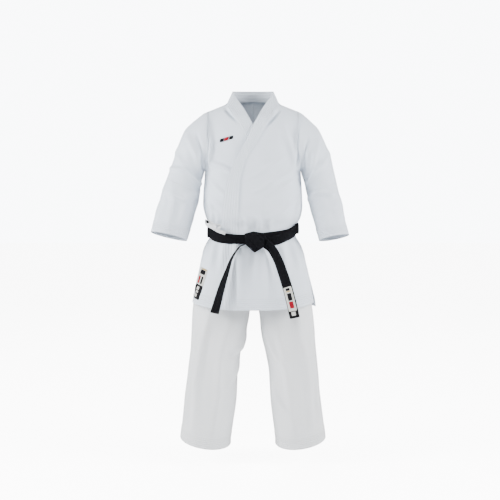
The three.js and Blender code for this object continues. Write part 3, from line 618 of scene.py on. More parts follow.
def front_folds(points, creases):
    """How far the cloth stands out at each point of a front."""
    x, h = points[..., 0], points[..., 2] - FLOOR
    rise = rumple(points, 0.11, 0.0040, 3, (1, 1, 0.7)) + rumple(points, 0.035, 0.0009, 5)
    for path, width, height in creases:
        rise = rise + crease(x, h, path, width, height)
    gather = 1 - ease(BELT - 0.01, BELT + 0.045, h)
    return rise + gather * rumple(points * np.array([1, 1, 0.12]), 0.016, 0.0026, 7)


NECK_HEIGHT = 1.437


def jacket_front(name, side):
    """A front of the jacket from the belt to the shoulder, running a little way under its band."""
    u, v = lattice(66, 44)
    neck = math.asin(NECK_HALF / SHOULDER_HALF)
    around = mix(math.asin(band_seam(BELT) / torso(BELT)), math.pi / 2, u)
    low = belt_line(side * torso(BELT) * np.sin(around), -1) - 0.006
    edge = mix(low, NECK_HEIGHT, v)
    h = mix(low, shoulder_line(SHOULDER_HALF * np.sin(mix(neck, math.pi / 2, u))), v)
    start = np.arcsin(np.clip((band_seam(edge) - 0.010) / torso(edge), -1, 1))
    x = torso(h) * np.sin(mix(start, math.pi / 2, u))
    grid = front_point(side, x, h)
    away = ease(0.0, 0.03, 1.0 - u) * ease(0.0, 0.04, 1.0 - v)
    grid = moved(grid, front_folds(grid, FRONT_CREASES) * away)
    obj = mesh_from_grid(name, grid)
    return jacket_cloth(obj, [f"front_panel_{'left' if side > 0 else 'right'}"], (0.34, 0.52), "hung",
        ("shoulder_linings",), body="uniform_body", area=0.155)


def jacket_back(name, side):
    u, v = lattice(66, 40)
    low = belt_line(side * torso(BELT) * np.sin(u * math.pi / 2), 1) - 0.006
    top_x = SHOULDER_HALF * np.sin(mix(-0.02, math.pi / 2, u))
    across_neck = np.clip(top_x / NECK_HALF, 0, 1)
    top = np.where(top_x < NECK_HALF, NECK_HEIGHT + 0.016 * (1 - across_neck**2), shoulder_line(top_x))
    h = mix(low, top, v)
    x = torso(h) * np.sin(mix(-0.02, math.pi / 2, u))
    grid = body_point(side * x, h, 1)
    under_collar = collar_seam(side * np.arcsin(
        np.clip(top_x[-1] / NECK_HALF, -1, 1)) / math.pi) + np.array([0, 0, 0.005])
    reach = (under_collar - grid[-1]) * ease(NECK_HALF + 0.004, NECK_HALF - 0.004, top_x[-1])[:, None]
    grid = grid + reach * ease(0.80, 1.0, v)[..., None]
    h = grid[..., 2] - FLOOR
    rise = rumple(grid, 0.12, 0.0045, 11, (1, 1, 0.7)) + rumple(grid, 0.04, 0.0010, 13)
    for path, width, height in ((((0.175, 1.16), (0.12, 1.10), (0.05, 1.075)), 0.016, 0.005),
            (((0.165, 1.05), (0.13, 0.99), (0.125, 0.95)), 0.012, 0.005),
            (((0.06, 1.07), (0.055, 1.0), (0.062, 0.95)), 0.012, 0.004)):
        rise = rise + crease(np.abs(x), h, path, width, height)
    rise = rise * ease(0, 0.03, u) * ease(0, 0.03, 1 - u) * ease(0, 0.04, 1 - v)
    obj = mesh_from_grid(name, moved(grid, rise))
    return jacket_cloth(obj, [f"back_panel_{'left' if side > 0 else 'right'}"], (0.31, 0.52), "hung",
        ("shoulder_linings",), body="uniform_body", area=0.155)


BAND_START = 1.392
BAND_LOW = float(belt_line(-0.09, -1))
COLLAR_RISE = 0.050


def collar_seam(t):
    """The seam of the band round the neck: t from -1 on the wearer's right to 1 on the left."""
    side, s = np.where(t < 0, -1.0, 1.0), np.abs(t)
    h = mix(NECK_HEIGHT, BAND_START, np.clip((s - 0.5) / 0.5, 0, 1))
    front = body_point(side * band_seam(h), np.minimum(h, NECK_HEIGHT - 0.0005), -1, 0.002)
    angle = np.clip(s / 0.5, 0, 1) * math.pi / 2
    back = np.stack([side * NECK_HALF * np.sin(angle), 0.074 * np.cos(angle),
        NECK_HEIGHT + FLOOR + 0.014 * np.cos(angle)], -1)
    return np.where((s > 0.5)[..., None], front, back)


def collar_edge(t):
    side, s = np.where(t < 0, -1.0, 1.0), np.abs(t)
    high = NECK_HEIGHT + COLLAR_RISE
    angle = math.pi / 2 * np.clip(s / 0.5, 0, 1)
    back = np.stack([side * 0.082 * np.sin(angle), 0.060 * np.cos(angle) - 0.004,
        high + FLOOR + 0.004 * np.cos(angle)], -1)
    fall = np.clip((s - 0.5) / 0.5, 0, 1)
    end = body_point(np.array(free_edge(BAND_START)), np.array(BAND_START), -1, 0.002)
    x = mix(0.082, end[0], ease(0, 1, fall) * 0.3 + fall * 0.7)
    front = np.stack([side * x, mix(-0.004, end[1], fall), mix(high, BAND_START, fall) + FLOOR], -1)
    return np.where((s > 0.5)[..., None], front, back)


def lapel_rows(side, heights, across, extra):
    """Points of a lapel band: rows at heights, columns at fractions from its free edge to its seam."""
    h, w = np.meshgrid(heights, across, indexing="ij")
    x = mix(free_edge(h), band_seam(h), w)
    return front_point(side, x, h, extra * (1 - 0.8 * ease(0.90, 1.0, w)))


def collar_band(name):
    """The stitched band: up one front, round the neck and down the other, raised off the cloth."""
    across = np.concatenate([[0.0, 0.03], np.linspace(0.08, 0.92, 8), [0.97, 1.0]])
    heights = np.linspace(BAND_LOW - 0.008, BAND_START - 0.006, 66)
    left = lapel_rows(1, heights, across, 0.0034)
    right = lapel_rows(-1, heights, across, 0.0030)[::-1]
    t, w = np.meshgrid(np.linspace(1, -1, 60), across, indexing="ij")
    edge, seam = collar_edge(t), collar_seam(t)
    neck = mix(edge, seam, w[..., None])
    for j in range(8):
        blend = ease(0, 8, 8 - j)
        neck[j] = mix(neck[j], left[-1] + (neck[j] - neck[0]), blend)
        neck[-1 - j] = mix(neck[-1 - j], right[0] + (neck[-1 - j] - neck[-1]), blend)
    grid = np.concatenate([left, neck[1:-1], right])
    obj = mesh_from_grid(name, grid, centre=(0, 0.02, -0.25))
    run = np.concatenate([[0], np.cumsum(np.linalg.norm(np.diff(grid[:, 6], axis=0), axis=-1))])
    width = np.linalg.norm(grid[:, 0] - grid[:, -1], axis=-1)
    inset = (across[None] * width[:, None] - 0.003) / ((width[:, None] - 0.006) / 6)
    stitched(obj, inset, np.repeat(run[:, None], len(across), 1),
        np.repeat(((width - 0.006) / 6)[:, None], len(across), 1))
    return jacket_cloth(obj, ["neck_collar", "lapel_left", "lapel_right"], (0.056, 1.31), "folded",
        ("jacket_front_left", "jacket_front_right"), body="uniform_body", thickness=0.0040)


# ---- sleeves ------------------------------------------------------------------------------------

# Rings of each sleeve from the armhole to the cuff: inner x and height, outer x and height,
# half-depth and how far forward the ring's middle lies.
SLEEVE_RINGS = {
    "left": [
        (0, 0.192, 1.172, 0.187, 1.408, 0.100, 0.000),
        (1, 0.196, 1.158, 0.262, 1.334, 0.096, 0.000),
        (2, 0.205, 1.128, 0.299, 1.250, 0.090, -0.002),
        (3, 0.209, 1.104, 0.320, 1.176, 0.085, -0.006),
        (4, 0.212, 1.084, 0.333, 1.128, 0.083, -0.010),
        (5, 0.225, 1.020, 0.352, 1.050, 0.079, -0.020),
        (6, 0.243, 0.965, 0.366, 0.985, 0.074, -0.032),
        (7, 0.263, 0.897, 0.380, 0.918, 0.066, -0.045),
    ],
    "right": [
        (0, 0.192, 1.172, 0.187, 1.408, 0.100, 0.000),
        (1, 0.196, 1.158, 0.265, 1.337, 0.096, 0.000),
        (2, 0.205, 1.128, 0.301, 1.255, 0.090, -0.002),
        (3, 0.209, 1.104, 0.327, 1.192, 0.085, -0.006),
        (4, 0.212, 1.084, 0.344, 1.146, 0.083, -0.010),
        (5, 0.225, 1.020, 0.368, 1.070, 0.079, -0.020),
        (6, 0.243, 0.965, 0.387, 1.002, 0.074, -0.032),
        (7, 0.263, 0.897, 0.405, 0.930, 0.066, -0.045),
    ],
}


def sleeve_point(name, s, angle):
    """A point of a sleeve: s counts its rings, angle 0 is its outer side and pi its inner side."""
    side = 1 if name == "left" else -1
    ring = through(SLEEVE_RINGS[name])
    inner_x, inner_h, outer_x, outer_h, depth, forward = (ring(s, k) for k in range(1, 7))
    reach = np.cos(angle) / 2
    x = (inner_x + outer_x) / 2 + (outer_x - inner_x) * reach
    h = (inner_h + outer_h) / 2 + (outer_h - inner_h) * reach
    return np.stack([side * x, forward + depth * np.sin(angle), h + FLOOR], -1)


# Folds on the back of a sleeve: path in (ring, turn), width, height. The back is 0.25 of a turn.
SLEEVE_FOLDS = {
    "left": [
        ([(0.3, 0.35), (1.2, 0.25), (2.2, 0.15)], 0.045, 0.0050),
        ([(2.2, 0.40), (3.4, 0.30), (4.6, 0.16)], 0.045, 0.0070),
        ([(4.0, 0.42), (5.4, 0.34), (6.7, 0.30)], 0.040, 0.0060),
    ],
    "right": [
        ([(0.3, 0.35), (1.2, 0.25), (2.2, 0.15)], 0.045, 0.0050),
        ([(2.2, 0.40), (3.4, 0.30), (4.6, 0.16)], 0.045, 0.0070),
        ([(4.0, 0.42), (5.4, 0.34), (6.7, 0.30)], 0.040, 0.0060),
    ],
}
# Folds on the front of a sleeve: path in (x, height), width, height of the ridge.
SLEEVE_FRONTS = {
    "right": [
        ([(-0.345, 1.184), (-0.262, 1.176), (-0.194, 1.104)], 0.0085, 0.0062),
        ([(-0.262, 1.318), (-0.224, 1.241), (-0.202, 1.146)], 0.0110, 0.0052),
        ([(-0.222, 1.320), (-0.200, 1.250), (-0.196, 1.170)], 0.0070, -0.0060),
        ([(-0.352, 1.095), (-0.272, 1.060), (-0.214, 1.090)], 0.0120, 0.0052),
        ([(-0.320, 1.150), (-0.312, 1.050), (-0.334, 0.950)], 0.0150, 0.0040),
        ([(-0.262, 1.050), (-0.276, 1.000), (-0.296, 0.940)], 0.0120, 0.0040),
        ([(-0.305, 1.270), (-0.300, 1.230), (-0.270, 1.190)], 0.0110, 0.0034),
    ],
    "left": [
        ([(0.285, 1.208), (0.240, 1.164), (0.208, 1.112)], 0.0085, 0.0062),
        ([(0.262, 1.310), (0.243, 1.241), (0.232, 1.170)], 0.0095, 0.0046),
        ([(0.218, 1.305), (0.200, 1.240), (0.196, 1.170)], 0.0070, -0.0062),
        ([(0.204, 1.038), (0.246, 1.090), (0.326, 1.080)], 0.0110, 0.0050),
        ([(0.256, 0.985), (0.310, 1.030), (0.348, 1.072)], 0.0120, 0.0042),
        ([(0.282, 1.140), (0.322, 1.040), (0.346, 0.950)], 0.0145, 0.0042),
        ([(0.300, 1.270), (0.296, 1.230), (0.270, 1.200)], 0.0110, 0.0034),
    ],
}
RING_LENGTH = 0.075  # metres of sleeve between two ring numbers, about
RING_ROUND = 0.52  # metres round a sleeve


def sleeve_rise(name, points, s, turn):
    """How far the cloth of a sleeve stands out: its folds, fading towards the armhole and the cuff."""
    rise = rumple(points, 0.10, 0.0050, 17 if name == "left" else 23) + rumple(points, 0.035, 0.0010, 29)
    front = ease(0.15, -0.35, np.sin(turn * 2 * math.pi))
    for path, width, height in SLEEVE_FRONTS[name]:
        rise = rise + front * crease(points[..., 0], points[..., 2] - FLOOR, path, width, height)
    for path, width, height in SLEEVE_FOLDS[name]:
        flat = [(a * RING_LENGTH, b * RING_ROUND) for a, b in path]
        for lap in (-1, 0, 1):
            rise = rise + crease(s * RING_LENGTH, (turn + lap) * RING_ROUND, flat, width * 0.45, height)
    return rise * ease(0.0, 0.5, s) * (1 - 0.45 * ease(6.2, 7.0, s))


CUFF_RINGS = 0.62  # the cuff's hem, in ring numbers
ELBOW_ROW = 38  # the row of the sleeve's grid where its two pieces meet


def sleeve_grid(name):
    """The whole sleeve: its points, ring numbers, turns and middles."""
    step = 7.0 - CUFF_RINGS
    s_rows = np.concatenate([np.linspace(0, 4, ELBOW_ROW + 1), np.linspace(4, step - 0.012, 25)[1:],
        np.linspace(step + 0.012, 7.0, 9)])
    s, turn = np.meshgrid(s_rows, np.arange(72) / 72, indexing="ij")
    grid = sleeve_point(name, s, turn * 2 * math.pi)
    grid[0, :, 0] -= 0.010 if name == "left" else -0.010
    grid[..., 2] -= 0.013 * np.sin(turn * 2 * math.pi) * ease(5.4, 7.0, s)
    side = 1 if name == "left" else -1
    ring = through(SLEEVE_RINGS[name])
    core = np.stack([side * (ring(s, 1) + ring(s, 3)) / 2, ring(s, 6),
        (ring(s, 2) + ring(s, 4)) / 2 + FLOOR], -1)
    n = normals_of(grid, True)
    n = n * np.where(((grid - core) * n).sum(-1, keepdims=True) < 0, -1, 1)
    rise = sleeve_rise(name, grid, s, turn) + 0.0012 * (s > step)
    return grid + n * rise[..., None], s, turn, core


def sleeve_piece(label, name, whole, rows, nodes, bend, flat):
    """A stretch of a sleeve, cut from the whole one's rows."""
    grid, s, turn, core = (part[rows] for part in whole)
    obj = mesh_from_grid(label, grid, closed=True, centre=core.reshape(-1, 3).mean(0))
    along = (7.0 - s) * RING_LENGTH * 0.88
    if s.max() > 6.5:
        stitched(obj, (0.036 - along) / 0.0066, turn * RING_ROUND, 0.0066)
    return jacket_cloth(obj, nodes, flat, "hung", (f"jacket_front_{name}", f"jacket_back_{name}"), bend=bend)


def ring_middle(name, s):
    side = 1 if name == "left" else -1
    ring = through(SLEEVE_RINGS[name])
    return (side * float(ring(s, 1) + ring(s, 3)) / 2, float(ring(s, 6)),
        float(ring(s, 2) + ring(s, 4)) / 2 + FLOOR)


def sleeves(name):
    upper = (("uniform_body", f"{name}_upper_sleeve") + (ring_middle(name, 0.35), ring_middle(name, 2.0)))
    whole = sleeve_grid(name)
    sleeve_piece(f"sleeve_above_elbow_{name}", name, whole, slice(0, ELBOW_ROW + 1),
        [f"sleeve_head_{name}", f"sleeve_upper_{name}"], upper, (0.52, 0.26))
    lower = ((f"{name}_upper_sleeve", f"{name}_lower_sleeve") + (ring_middle(name, 4.0),
        ring_middle(name, 5.2)))
    sleeve_piece(f"sleeve_below_elbow_{name}", name, whole, slice(ELBOW_ROW, None),
        [f"sleeve_elbow_{name}", f"sleeve_end_{name}", f"cuff_hem_{name}"], lower, (0.45, 0.235))


# ---- skirt --------------------------------------------------------------------------------------

HEM_BAND = 0.048
VENT = 0.016
# Folds of the front skirt below the belt: path in (x, height), width, height.
SKIRT_CREASES = [
    ([(-0.066, 0.905), (-0.067, 0.800), (-0.064, 0.640)], 0.011, 0.0060),
    ([(0.040, 0.900), (0.052, 0.800), (0.062, 0.650)], 0.016, 0.0045),
    ([(0.012, 0.905), (0.008, 0.830), (0.000, 0.720)], 0.012, 0.0032),
    ([(-0.150, 0.905), (-0.160, 0.850), (-0.172, 0.760)], 0.013, 0.0040),
    ([(-0.112, 0.905), (-0.118, 0.840), (-0.124, 0.780)], 0.012, 0.0030),
    ([(0.110, 0.900), (0.122, 0.830), (0.134, 0.740)], 0.014, 0.0038),
    ([(0.152, 0.905), (0.168, 0.850), (0.186, 0.780)], 0.013, 0.0040),
]


def skirt_heights(low, top, count):
    """Heights of a skirt's rows for each column's top, close together at the hem band's edge."""
    step = low + HEM_BAND
    hem = np.linspace(low, step - 0.0008, 9)[:, None] + 0 * top
    return np.concatenate([hem, mix(step + 0.0008, top, np.linspace(0, 1, count)[:, None])])


def skirt_rise(points, low, creases, seed):
    x, h = points[..., 0], points[..., 2] - FLOOR
    rise = rumple(points, 0.13, 0.0050, seed, (1, 1, 0.5)) + rumple(points, 0.04, 0.0009, seed + 1)
    for path, width, height in creases:
        rise = rise + crease(x, h, path, width, height)
    gather = 1 - ease(0.885, 0.925, h)
    rise = rise + (1 - gather) * 0.0022 * np.sin(x * 2 * math.pi / 0.023 + np.sin(x * 35))
    step = 0.0012 * (h < low + HEM_BAND)
    return rise * ease(BELT, BELT - 0.03, h) + step


def skirt_hem_rows(obj, grid, low):
    h = grid[..., 2] - FLOOR
    run = np.concatenate([np.zeros((grid.shape[0], 1)),
        np.cumsum(np.linalg.norm(np.diff(grid, axis=1), axis=-1), 1)], 1)
    stitched(obj, (low + HEM_BAND - 0.004 - h) / 0.0083, run, 0.0083)


def vent_gap(h):
    return mix(VENT, 0.004, ease(0.620, 0.842, h))


def hem_line(x):
    """The front hem sags a little in the middle and rises to the vents."""
    return HEM + 0.013 + 0.018 * np.abs(x / 0.24) ** 3


def skirt_front(name, side):
    low = HEM
    u = np.linspace(0, 1, 44)
    around = mix(math.asin(band_seam(BELT) / torso(BELT)), math.pi / 2, u)
    h = skirt_heights(low, belt_line(side * torso(BELT) * np.sin(around), -1) + 0.006, 36)
    start = np.arcsin(np.clip((band_seam(h) - 0.008) / torso(h), -1, 1))
    x = torso(h) * np.sin(mix(start, math.pi / 2 - vent_gap(h) / torso(h, 2), u))
    grid = front_point(side, x, h)
    rise = skirt_rise(grid, low, SKIRT_CREASES, 31 if side > 0 else 37)
    grid = moved(grid, rise * ease(-0.01, 0.04, 1 - u) ** 0.5)
    lift = (hem_line(x) - HEM) * (1 - ease(HEM, HEM + 0.25, h))
    grid[..., 2] += lift
    obj = mesh_from_grid(name, grid)
    skirt_hem_rows(obj, grid - np.stack([0 * lift, 0 * lift, lift], -1), low)
    word = "left" if side > 0 else "right"
    return jacket_cloth(obj, [f"front_skirt_{word}", f"front_hem_{word}"], (0.34, 0.33), "hung",
        ("jacket_front_left", "jacket_front_right"), bend=FRONT_LIFT)


def skirt_lapel(name, side):
    """The band going on below the belt, along the free edge of its front."""
    across = np.concatenate([[0.0, 0.03], np.linspace(0.10, 0.90, 7), [0.97, 1.0]])
    heights = np.linspace(HEM, BAND_LOW + 0.008, 46)
    grid = lapel_rows(side, heights, across, 0.0034 if side > 0 else 0.0026)
    rise = rumple(grid, 0.09, 0.0030, 41 + side)
    x, h = grid[..., 0], grid[..., 2] - FLOOR
    for path, width, height in SKIRT_CREASES:
        rise = rise + crease(x, h, path, width, height)
    grid = moved(grid, rise * ease(BELT, BELT - 0.03, h))
    grid[..., 2] += (hem_line(x) - HEM) * (1 - ease(HEM, HEM + 0.25, h))
    obj = mesh_from_grid(name, grid)
    pitch = 0.0105
    stitched(obj, (np.abs(x - (side * free_edge(h))) - 0.003) / pitch, h, pitch)
    word = "left" if side > 0 else "right"
    return jacket_cloth(obj, [f"skirt_lapel_{word}"], (0.066, 0.32), "folded", (f"skirt_front_{word}",),
        bend=FRONT_LIFT, thickness=0.0028)


def skirt_back(name):
    low = HEM + 0.006
    u = np.linspace(-1, 1, 84)
    h = skirt_heights(low, belt_line(torso(BELT) * np.sin(u * math.pi / 2), 1) + 0.006, 34)
    limit = math.pi / 2 - vent_gap(h) / torso(h, 2)
    x = torso(h) * np.sin(limit * u)
    grid = body_point(x, h, 1)
    grid[..., 0] += 0.013 * ease(0.80, 0.64, h) * np.clip(x / torso(h), 0, 1) ** 4
    grid[..., 1] += 0.007 * ease(0.80, 0.64, h) * np.exp(-((np.abs(x) - 0.11) / 0.07) ** 2)
    creases = [([(a, 0.905), (a * 1.12, 0.80), (a * 1.25, 0.66)], 0.015, 0.0045) for a in (-0.12, -0.045,
        0.03, 0.10)]
    grid = moved(grid, skirt_rise(grid, low, creases, 43))
    obj = mesh_from_grid(name, grid)
    skirt_hem_rows(obj, grid, low)
    return jacket_cloth(obj, ["back_skirt", "back_hem"], (0.62, 0.33), "hung",
        ("jacket_back_left", "jacket_back_right"), bend=BACK_LIFT)


def shoulder_lining(name, side):
    """The second layer of canvas under the shoulder, front and back."""
    u, v = lattice(30, 20)
    x = mix(NECK_HALF + 0.012, SHOULDER_HALF - 0.010, u)
    angle = mix(-1, 1, v)
    h = mix(shoulder_line(x), 1.300, np.abs(angle) ** 1.6) - 0.002
    front = body_point(side * x, h, -1, -0.005)
    back = body_point(side * x, h, 1, -0.005)
    grid = np.where((angle < 0)[..., None], front, back)
    obj = mesh_from_grid(name, grid, centre=(0, 0, -0.3))
    word = "left" if side > 0 else "right"
    return jacket_cloth(obj, [f"shoulder_lining_{word}"], (0.07, 0.26), "hung", (), body="uniform_body")


def vent_patch(name, side):
    """The small square sewn over the top of the side vent."""
    u, v = lattice(7, 7)
    angle = mix(-0.13, 0.13, u)
    grid = body_ring(angle, mix(0.846, 0.874, v), 0.0022)
    grid[..., 0] *= side
    obj = mesh_from_grid(name, grid)
    word = "left" if side > 0 else "right"
    return jacket_cloth(obj, [f"vent_patch_{word}"], (0.045, 0.029), "folded",
        (f"skirt_front_{word}", "skirt_back"), body="uniform_body", levels=1)


# ---- trousers -----------------------------------------------------------------------------------

KNEE = 0.475
HIP_AXIS = 0.880
HIP_RADIUS = 0.180
SEAT_HALF = 0.116
WAIST_LOW = BELT + 0.018
WAISTBAND = 0.038
LEG_SPLIT = 0.640
LEG_HEM = 0.092
LEG_BAND = 0.046

# Middle, half-width and half-depth of a leg by height.
leg = through(
    [
        (LEG_HEM, 0.193, 0.102, 0.097),
        (0.250, 0.174, 0.104, 0.098),
        (0.380, 0.162, 0.101, 0.099),
        (0.480, 0.147, 0.106, 0.102),
        (0.560, 0.133, 0.113, 0.105),
        (0.620, 0.125, 0.115, 0.106),
        (0.680, 0.119, 0.110, 0.106),
        (0.760, 0.110, 0.096, 0.114),
    ]
)

# Folds of the legs: path in (height, turn), width, height. Outer side 0, front 0.75, inner side 0.5.
LEG_FOLDS = {
    "left": [
        ([(0.63, 0.80), (0.50, 0.82), (0.36, 0.84), (0.16, 0.83)], 0.020, 0.0075),
        ([(0.60, 0.68), (0.46, 0.70), (0.30, 0.71), (0.14, 0.72)], 0.018, 0.0050),
        ([(0.56, 0.58), (0.46, 0.63), (0.38, 0.70)], 0.018, 0.0060),
        ([(0.34, 0.56), (0.26, 0.62), (0.20, 0.70)], 0.016, 0.0045),
        ([(0.40, 0.92), (0.28, 0.90), (0.15, 0.91)], 0.018, 0.0060),
        ([(0.62, 0.25), (0.40, 0.24), (0.15, 0.25)], 0.024, 0.0070),
        ([(0.50, 0.40), (0.42, 0.32), (0.36, 0.22)], 0.020, 0.0060),
    ],
    "right": [
        ([(0.63, 0.82), (0.50, 0.84), (0.34, 0.85), (0.15, 0.83)], 0.021, 0.0080),
        ([(0.58, 0.70), (0.44, 0.71), (0.28, 0.70), (0.14, 0.71)], 0.018, 0.0050),
        ([(0.53, 0.50), (0.47, 0.56), (0.43, 0.66)], 0.015, 0.0085),
        ([(0.41, 0.50), (0.36, 0.58), (0.30, 0.66)], 0.016, 0.0050),
        ([(0.44, 0.93), (0.30, 0.91), (0.15, 0.93)], 0.018, 0.0060),
        ([(0.62, 0.25), (0.40, 0.26), (0.15, 0.24)], 0.024, 0.0070),
        ([(0.50, 0.40), (0.42, 0.32), (0.36, 0.22)], 0.020, 0.0060),
    ],
}


def leg_point(side, angle, h):
    back = 0.006 * (1 - ease(KNEE - 0.06, KNEE + 0.06, h))
    slim = 0.007 * ease(0.48, 0.60, h) * (side > 0)
    x = leg(h) + slim + (leg(h, 2) - slim) * np.cos(angle)
    return np.stack([side * x, leg(h, 3) * np.sin(angle) + back, h + FLOOR], -1)


def leg_rise(name, points, h, turn):
    rise = rumple(points, 0.14, 0.0060, 53 if name == "left" else 59, (1, 1, 0.45))
    rise = rise + rumple(points, 0.045, 0.0010, 61, (1, 1, 0.6))
    for path, width, height in LEG_FOLDS[name]:
        flat = [(a, b * 0.66) for a, b in path]
        for lap in (-1, 0, 1):
            rise = rise + crease(h, (turn + lap) * 0.66, flat, width, height)
    return rise * (1 - 0.3 * ease(0.16, LEG_HEM, h))


def leg_tube(label, name, heights, hem):
    """A stretch of a leg through rows of heights, which may differ round the leg."""
    side = 1 if name == "left" else -1
    turn = np.arange(84)[None, :] / 84 + 0 * heights
    grid = leg_point(side, turn * 2 * math.pi, heights)
    core = np.stack([side * leg(heights), 0 * heights, heights + FLOOR], -1)
    n = normals_of(grid, True)
    n = n * np.where(((grid - core) * n).sum(-1, keepdims=True) < 0, -1, 1)
    rise = leg_rise(name, grid, heights, turn)
    if hem is not None:
        rise = rise + 0.0012 * (heights < hem + LEG_BAND)
    grid = grid + n * rise[..., None]
    obj = mesh_from_grid(label, grid, closed=True, centre=core.reshape(-1, 3).mean(0))
    if hem is not None:
        stitched(obj, (hem + LEG_BAND - 0.004 - heights) / 0.0078, turn * 0.66, 0.0078)
    return obj


def trouser_upper(name):
    """A trouser leg from the seat down to just under the jacket's hem."""
    side = 1 if name == "left" else -1
    angle = np.arange(84) / 84 * 2 * math.pi
    depth = np.abs(leg(0.700, 3) * np.sin(angle))
    top = HIP_AXIS - np.sqrt((HIP_RADIUS - 0.004) ** 2 - depth**2)
    v = np.linspace(0, 1, 14)[:, None]
    obj = leg_tube(f"trouser_leg_{name}_upper", name, mix(LEG_SPLIT, top[None, :], v), None)
    bend = ("uniform_body", f"{name}_thigh", (side * 0.12, 0, 0.720 + FLOOR), (side * 0.12, 0, 0.655 + FLOOR))
    return trouser_cloth(obj, [f"trouser_leg_{name}"], (0.70, 0.085), "hung",
        (f"trouser_seat_{name}_cloth",), bend=bend)


def trouser_lower(name):
    """A trouser leg from under the jacket's hem to its own stitched hem."""
    side = 1 if name == "left" else -1
    angle = np.arange(84) / 84 * 2 * math.pi
    hem = (LEG_HEM - 0.006 + 0.014 * np.cos(angle) + 0.018 * np.sin(angle))[None, :]
    step = hem + LEG_BAND
    low = mix(hem, step - 0.0008, np.linspace(0, 1, 8)[:, None])
    high = mix(step + 0.0008, LEG_SPLIT, np.linspace(0, 1, 62)[:, None])
    obj = leg_tube(f"trouser_leg_{name}_lower", name, np.concatenate([low, high]), hem)
    bend = (f"{name}_thigh", f"{name}_lower_leg", (side * 0.147, 0, 0.530 + FLOOR),
        (side * 0.155, 0, 0.420 + FLOOR))
    return trouser_cloth(obj, [f"trouser_knee_{name}", f"lower_leg_{name}", f"leg_hem_{name}"],
        (0.66, 0.55), "hung", (f"trouser_leg_{name}_upper",), bend=bend)


def trouser_seat(name):
    """One half of the seat, from the waistband to its leg, with the crotch curve on its inner edge."""
    side = 1 if name == "left" else -1
    u, v = lattice(34, 60)
    around = mix(-1, 1, u)
    leg_angle = around * math.pi * 0.985
    leg_x = leg(0.700) + leg(0.700, 2) * np.cos(leg_angle)
    leg_y = SEAT_HALF * np.sin(leg_angle)
    h = mix(WAIST_LOW - 0.001, HIP_AXIS - np.sqrt((HIP_RADIUS + 0.003) ** 2 - leg_y**2), v)
    waist = body_ring(around * math.pi / 2, WAIST_LOW, -0.015)
    bend = v**2.4
    belly = 0.020 * np.sin(math.pi * np.minimum(1, v * 1.05)) * np.cos(around * math.pi / 2)
    x = np.maximum(mix(np.maximum(waist[..., 0], 0.0005), leg_x, bend) + belly * 0.6, 0.0004)
    grid = np.stack([side * x, mix(waist[..., 1], leg_y, bend), h + FLOOR], -1)
    gather = 0.0022 * np.sin(around * 74) * (1 - ease(0.0, 0.5, v)) * ease(0, 0.04, u) * ease(0, 0.04, 1 - u)
    obj = mesh_from_grid(f"trouser_seat_{name}_cloth", moved(grid, gather))
    return trouser_cloth(obj, [f"trouser_seat_{name}"], (0.56, 0.24), "gathered",
        ("trouser_waistband_cloth",), body="uniform_body")


def trouser_waistband(name):
    """The gathered casing that holds the elastic."""
    v, angle = np.meshgrid(np.linspace(0, 1, 9), np.arange(240) / 240 * 2 * math.pi, indexing="ij")
    grid = body_ring(angle, WAIST_LOW, -0.0165)
    grid[..., 2] += WAISTBAND * v
    gather = 0.0016 * np.sin(angle * 60) * (1 - 0.5 * np.sin(math.pi * v)) + 0.0012 * np.sin(angle * 23)
    obj = mesh_from_grid(name, moved(grid, gather, True), closed=True)
    run = angle * 0.148
    stitched(obj, v * 4 - 0.15, run, WAISTBAND / 4)
    return trouser_cloth(obj, ["trouser_waistband", "waist_elastic"], (1.05, 0.038), "gathered", (),
        body="uniform_body", thickness=0.0022)


def crotch_gusset(name):
    u, v = lattice(18, 6)
    along = mix(-1, 1, v)
    wide = 0.009 * (1 - np.abs(along) * 0.75)
    h = HIP_AXIS - HIP_RADIUS + 0.012 + 0.026 * along**2
    grid = np.stack([mix(-1, 1, u) * wide, 0.062 * along * 0.5, h + FLOOR], -1)
    obj = mesh_from_grid(name, grid, centre=(0, 0, -0.5))
    return trouser_cloth(obj, ["crotch_gusset"], (0.018, 0.066), "stretched",
        ("trouser_seat_left_cloth", "trouser_seat_right_cloth"), body="uniform_body", area=0.0010)


# ---- belt ---------------------------------------------------------------------------------------


def belt_wrap(name, node, grow, shift, rests):
    """One turn of the belt: a stitched strap, narrowed at the knot, where it is pulled tight."""
    across = np.linspace(-0.5, 0.5, 9)
    w, angle = np.meshgrid(across, np.arange(160) / 160 * 2 * math.pi, indexing="ij")
    ring = body_ring(angle, BELT, grow)
    x = ring[..., 0]
    front = ease(-0.02, -0.08, ring[..., 1])
    middle = np.where(ring[..., 1] < 0, belt_line(x, -1),
        belt_line(x, 1)) + shift * front * np.exp(-(((x - 0.075) / 0.060) ** 2))
    narrow = 1 - 0.14 * front * np.exp(-(((x + 0.03) / 0.045) ** 2))
    ring[..., 2] = middle + w * BELT_WIDTH * narrow + FLOOR
    rise = 0.0010 * (1 - (2 * w) ** 4) + rumple(ring, 0.08, 0.0012, 71)
    obj = mesh_from_grid(name, moved(ring, rise, True), closed=True)
    stitched(obj, (w + 0.5) * 8 - 0.0, angle * 0.15, BELT_WIDTH / 8)
    return cloth_piece(obj, [node], "belt_cotton", "belt_cotton", (1.06, BELT_WIDTH), "stretched", rests,
        body="uniform_body", thickness=BELT_THICKNESS, offset=0.0)


